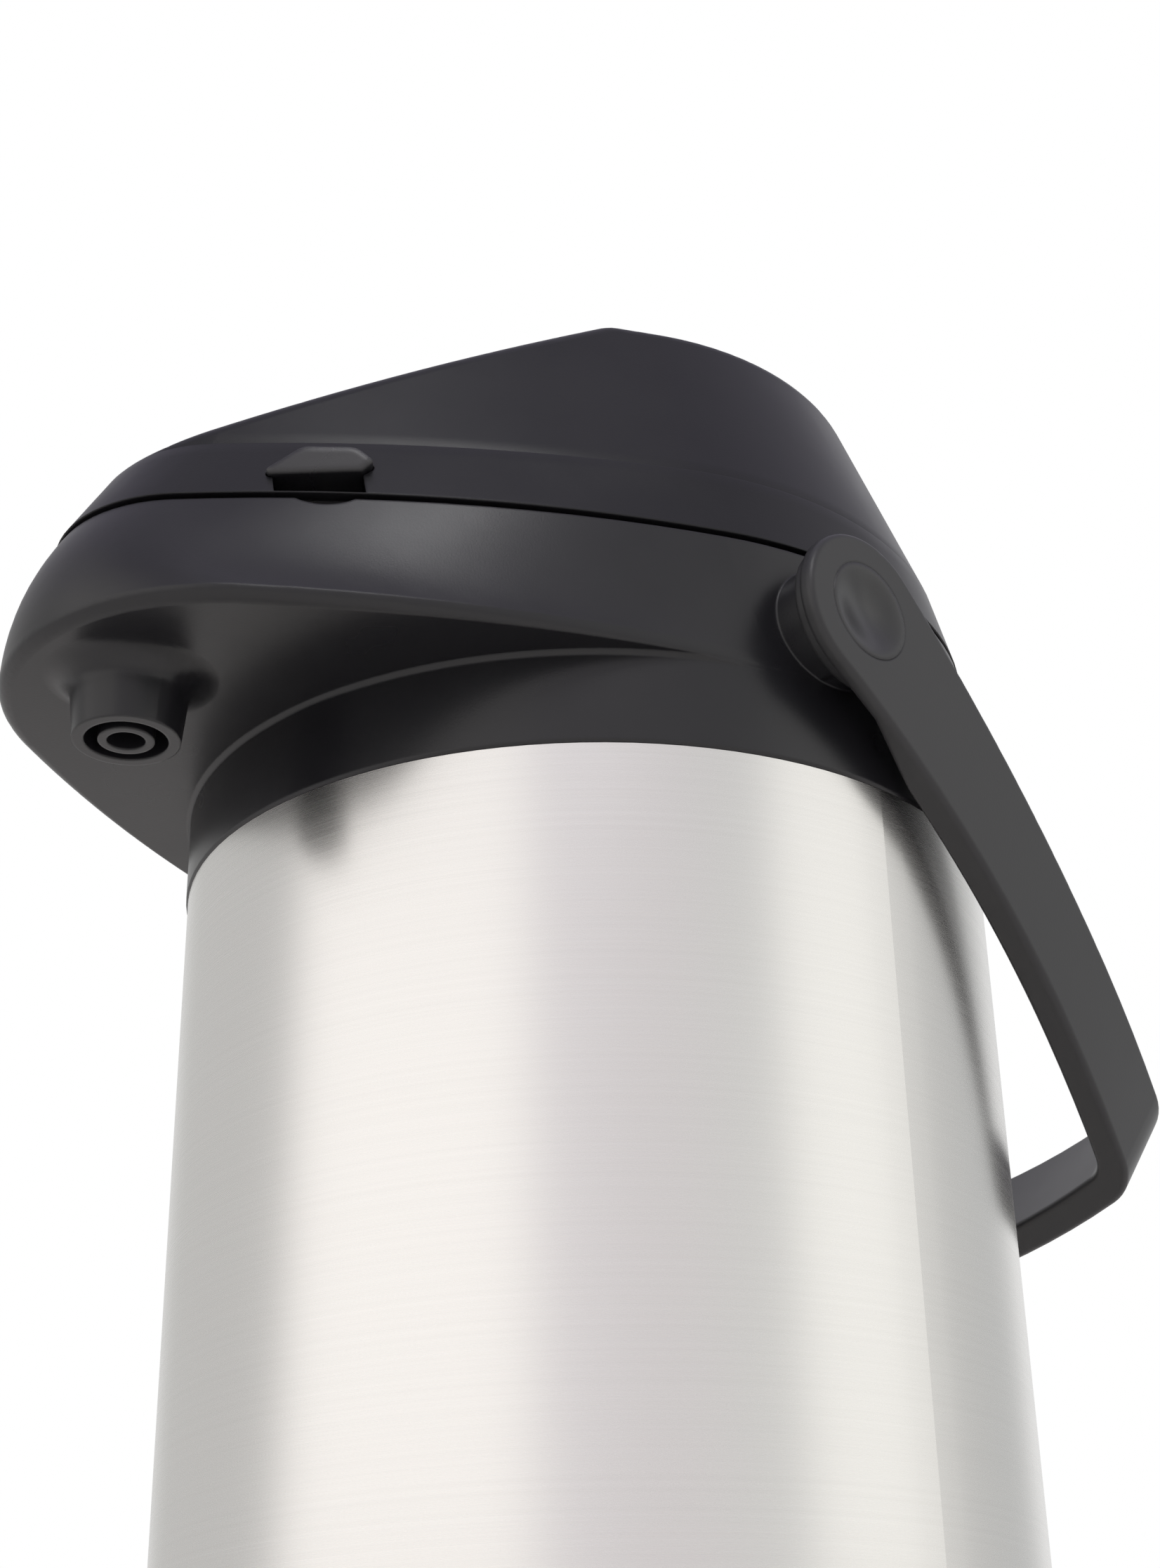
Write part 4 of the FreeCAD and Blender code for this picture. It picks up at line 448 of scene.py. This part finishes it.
# Bellows and return spring stand between pump floor and button; each is copied, hung on the lid and made a
# little shorter

softPump = {
    "pieces": {   # label, finish and slot of each stand-in
        "bellows": ("softBellows", "sealRubber", "rubber"),
        "return_spring": ("softSpring", "brightMetal", "bright_metal")},
    "axisY": 0.012,     # pump axis behind the flask axis
    "travel": 0.0294,   # stroke of the button and room for the lock
    "slack": 0.999,     # share of the height that keeps the ends off their neighbours
}


def shortenWithButton():
    for name, (label, coat, slotName) in softPump["pieces"].items():
        piece = bpy.data.objects.new(label, node[name].data.copy())
        scene.collection.objects.link(piece)
        dress(piece, coat)
        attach(piece, "lid")
        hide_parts(name)
        low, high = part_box(name)
        for vertex in piece.data.vertices:
            vertex.co.z = low[2] + (vertex.co.z - low[2]) * softPump["slack"]
        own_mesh(piece)


shortenWithButton()
print("soft pump pieces ready")

# Studio: white sky, pale floor and soft lamps

studio = {
    "ambient": (0.82, 0.81, 0.82),
    "zenith": (0.36, 0.34, 0.42),
    "zenithFrom": 26.0,   # degrees above the horizon where the shiny sky starts to darken
    "zenithTo": 58.0,
    "floorColour": (0.72, 0.70, 0.68),
    "floorRough": 0.7,
    "floorSize": 16.0,
    # what shiny surfaces see round the horizon: degrees from +X, brightness and tint
    "horizon": [
        (-180, 0.58, (1.0, 0.99, 0.98)), (-135, 0.58, (1.0, 0.99, 0.98)), (-118, 1.12, (1.0, 0.97, 0.95)),
        (-66, 1.12, (1.0, 0.97, 0.95)), (-48, 0.78, (1.0, 0.96, 0.99)), (-26, 0.72, (1.0, 0.96, 0.98)),
        (4, 0.70, (0.99, 0.99, 0.98)), (17, 1.04, (1.0, 0.99, 0.96)), (40, 1.04, (1.0, 0.99, 0.96)),
        (62, 0.58, (0.99, 0.99, 0.98)), (86, 0.56, (0.98, 0.99, 0.99)), (112, 0.9, (1.0, 1.0, 1.0)),
        (150, 0.85, (1.0, 1.0, 1.0)), (180, 0.56, (1.0, 1.0, 0.98))],
    "lamps": [
        # name, place, width, height, watts, shows in shiny surfaces
        ("softBox", (0.645, -0.47, 1.265), 0.36, 0.38, 2.2, True),
        ("keyLamp", (1.07, -0.43, 1.54), 0.8, 0.8, 5.0, False),
        ("fillLamp", (-1.2, -0.6, 0.8), 0.9, 0.9, 2.0, False),
        ("rearLamp", (0.3, 1.4, 1.2), 1.0, 0.7, 2.5, False)],
    "lampAim": (0.0, 0.0, 0.3),
}


# Colour all round, eased from stop to stop
def horizonRamp(tree, share):
    made = addNode(tree, "ShaderNodeValToRGB")
    made.color_ramp.interpolation = "EASE"
    points = made.color_ramp.elements
    while len(points) > 1:
        points.remove(points[-1])
    for number, (angle, level, tint) in enumerate(studio["horizon"]):
        place = (angle + 180) / 360
        point = points[0] if number == 0 else points.new(place)
        point.position = place
        point.color = (*[level * part for part in tint], 1)
    link(tree, share, made.inputs["Fac"])
    return made.outputs["Color"]


def skyLight(tree, colour):
    made = addNode(tree, "ShaderNodeBackground")
    feed(tree, made.inputs["Color"], colour)
    return made.outputs[0]


def mixSkies(tree, factor, first, second):
    made = addNode(tree, "ShaderNodeMixShader")
    for socket, value in zip(made.inputs, (factor, first, second)):
        link(tree, value, socket)
    return made.outputs[0]


def buildSky():
    world = bpy.data.worlds.new("studioSky")
    scene.world = world
    world.use_nodes = True
    tree = world.node_tree
    tree.nodes.clear()
    way = addNode(tree, "ShaderNodeSeparateXYZ")
    link(tree, addNode(tree, "ShaderNodeTexCoord").outputs["Generated"], way.inputs[0])
    turn = mathNode(tree, "ARCTAN2", way.outputs["Y"], way.outputs["X"])
    share = mathNode(tree, "ADD", mathNode(tree, "DIVIDE", turn, 2 * math.pi), 0.5)
    rise = mathNode(tree, "ARCSINE", way.outputs["Z"])
    low = math.radians(studio["zenithFrom"])
    high = math.radians(studio["zenithTo"])
    upward = rangeNode(tree, rise, low, high, 0.0, 1.0)
    shiny = skyLight(tree, mixColours(tree, upward, horizonRamp(tree, share), studio["zenith"]))
    rays = addNode(tree, "ShaderNodeLightPath").outputs
    direct = mathNode(tree, "MAXIMUM", rays["Is Camera Ray"], rays["Is Transmission Ray"])
    byGloss = mixSkies(tree, rays["Is Glossy Ray"], skyLight(tree, studio["ambient"]), shiny)
    byCamera = mixSkies(tree, direct, byGloss, skyLight(tree, (1, 1, 1)))
    link(tree, byCamera, addNode(tree, "ShaderNodeOutputWorld").inputs["Surface"])


def layFloor():
    half = studio["floorSize"] / 2
    corners = [(-half, -half, 0), (half, -half, 0), (half, half, 0), (-half, half, 0)]
    mesh = bpy.data.meshes.new("studioFloor")
    mesh.from_pydata(corners, [], [(0, 1, 2, 3)])
    floor = bpy.data.objects.new("studioFloor", mesh)
    scene.collection.objects.link(floor)
    material, tree, shader = newMaterial("floorPaper")
    feed(tree, shader["Base Color"], studio["floorColour"])
    feed(tree, shader["Roughness"], studio["floorRough"])
    mesh.materials.append(material)


def hangLamps():
    for name, place, width, height, watts, mirrored in studio["lamps"]:
        data = bpy.data.lights.new(name, "AREA")
        data.shape = "RECTANGLE"
        data.size = width
        data.size_y = height
        data.energy = watts
        lamp = bpy.data.objects.new(name, data)
        lamp.visible_glossy = mirrored
        aim = Vector(studio["lampAim"]) - Vector(place)
        lamp.matrix_world = Matrix.Translation(place) @ aim.to_track_quat("-Z", "Y").to_matrix().to_4x4()
        scene.collection.objects.link(lamp)


buildSky()
layFloor()
hangLamps()
scene.view_settings.view_transform = "Standard"
print("studio ready")
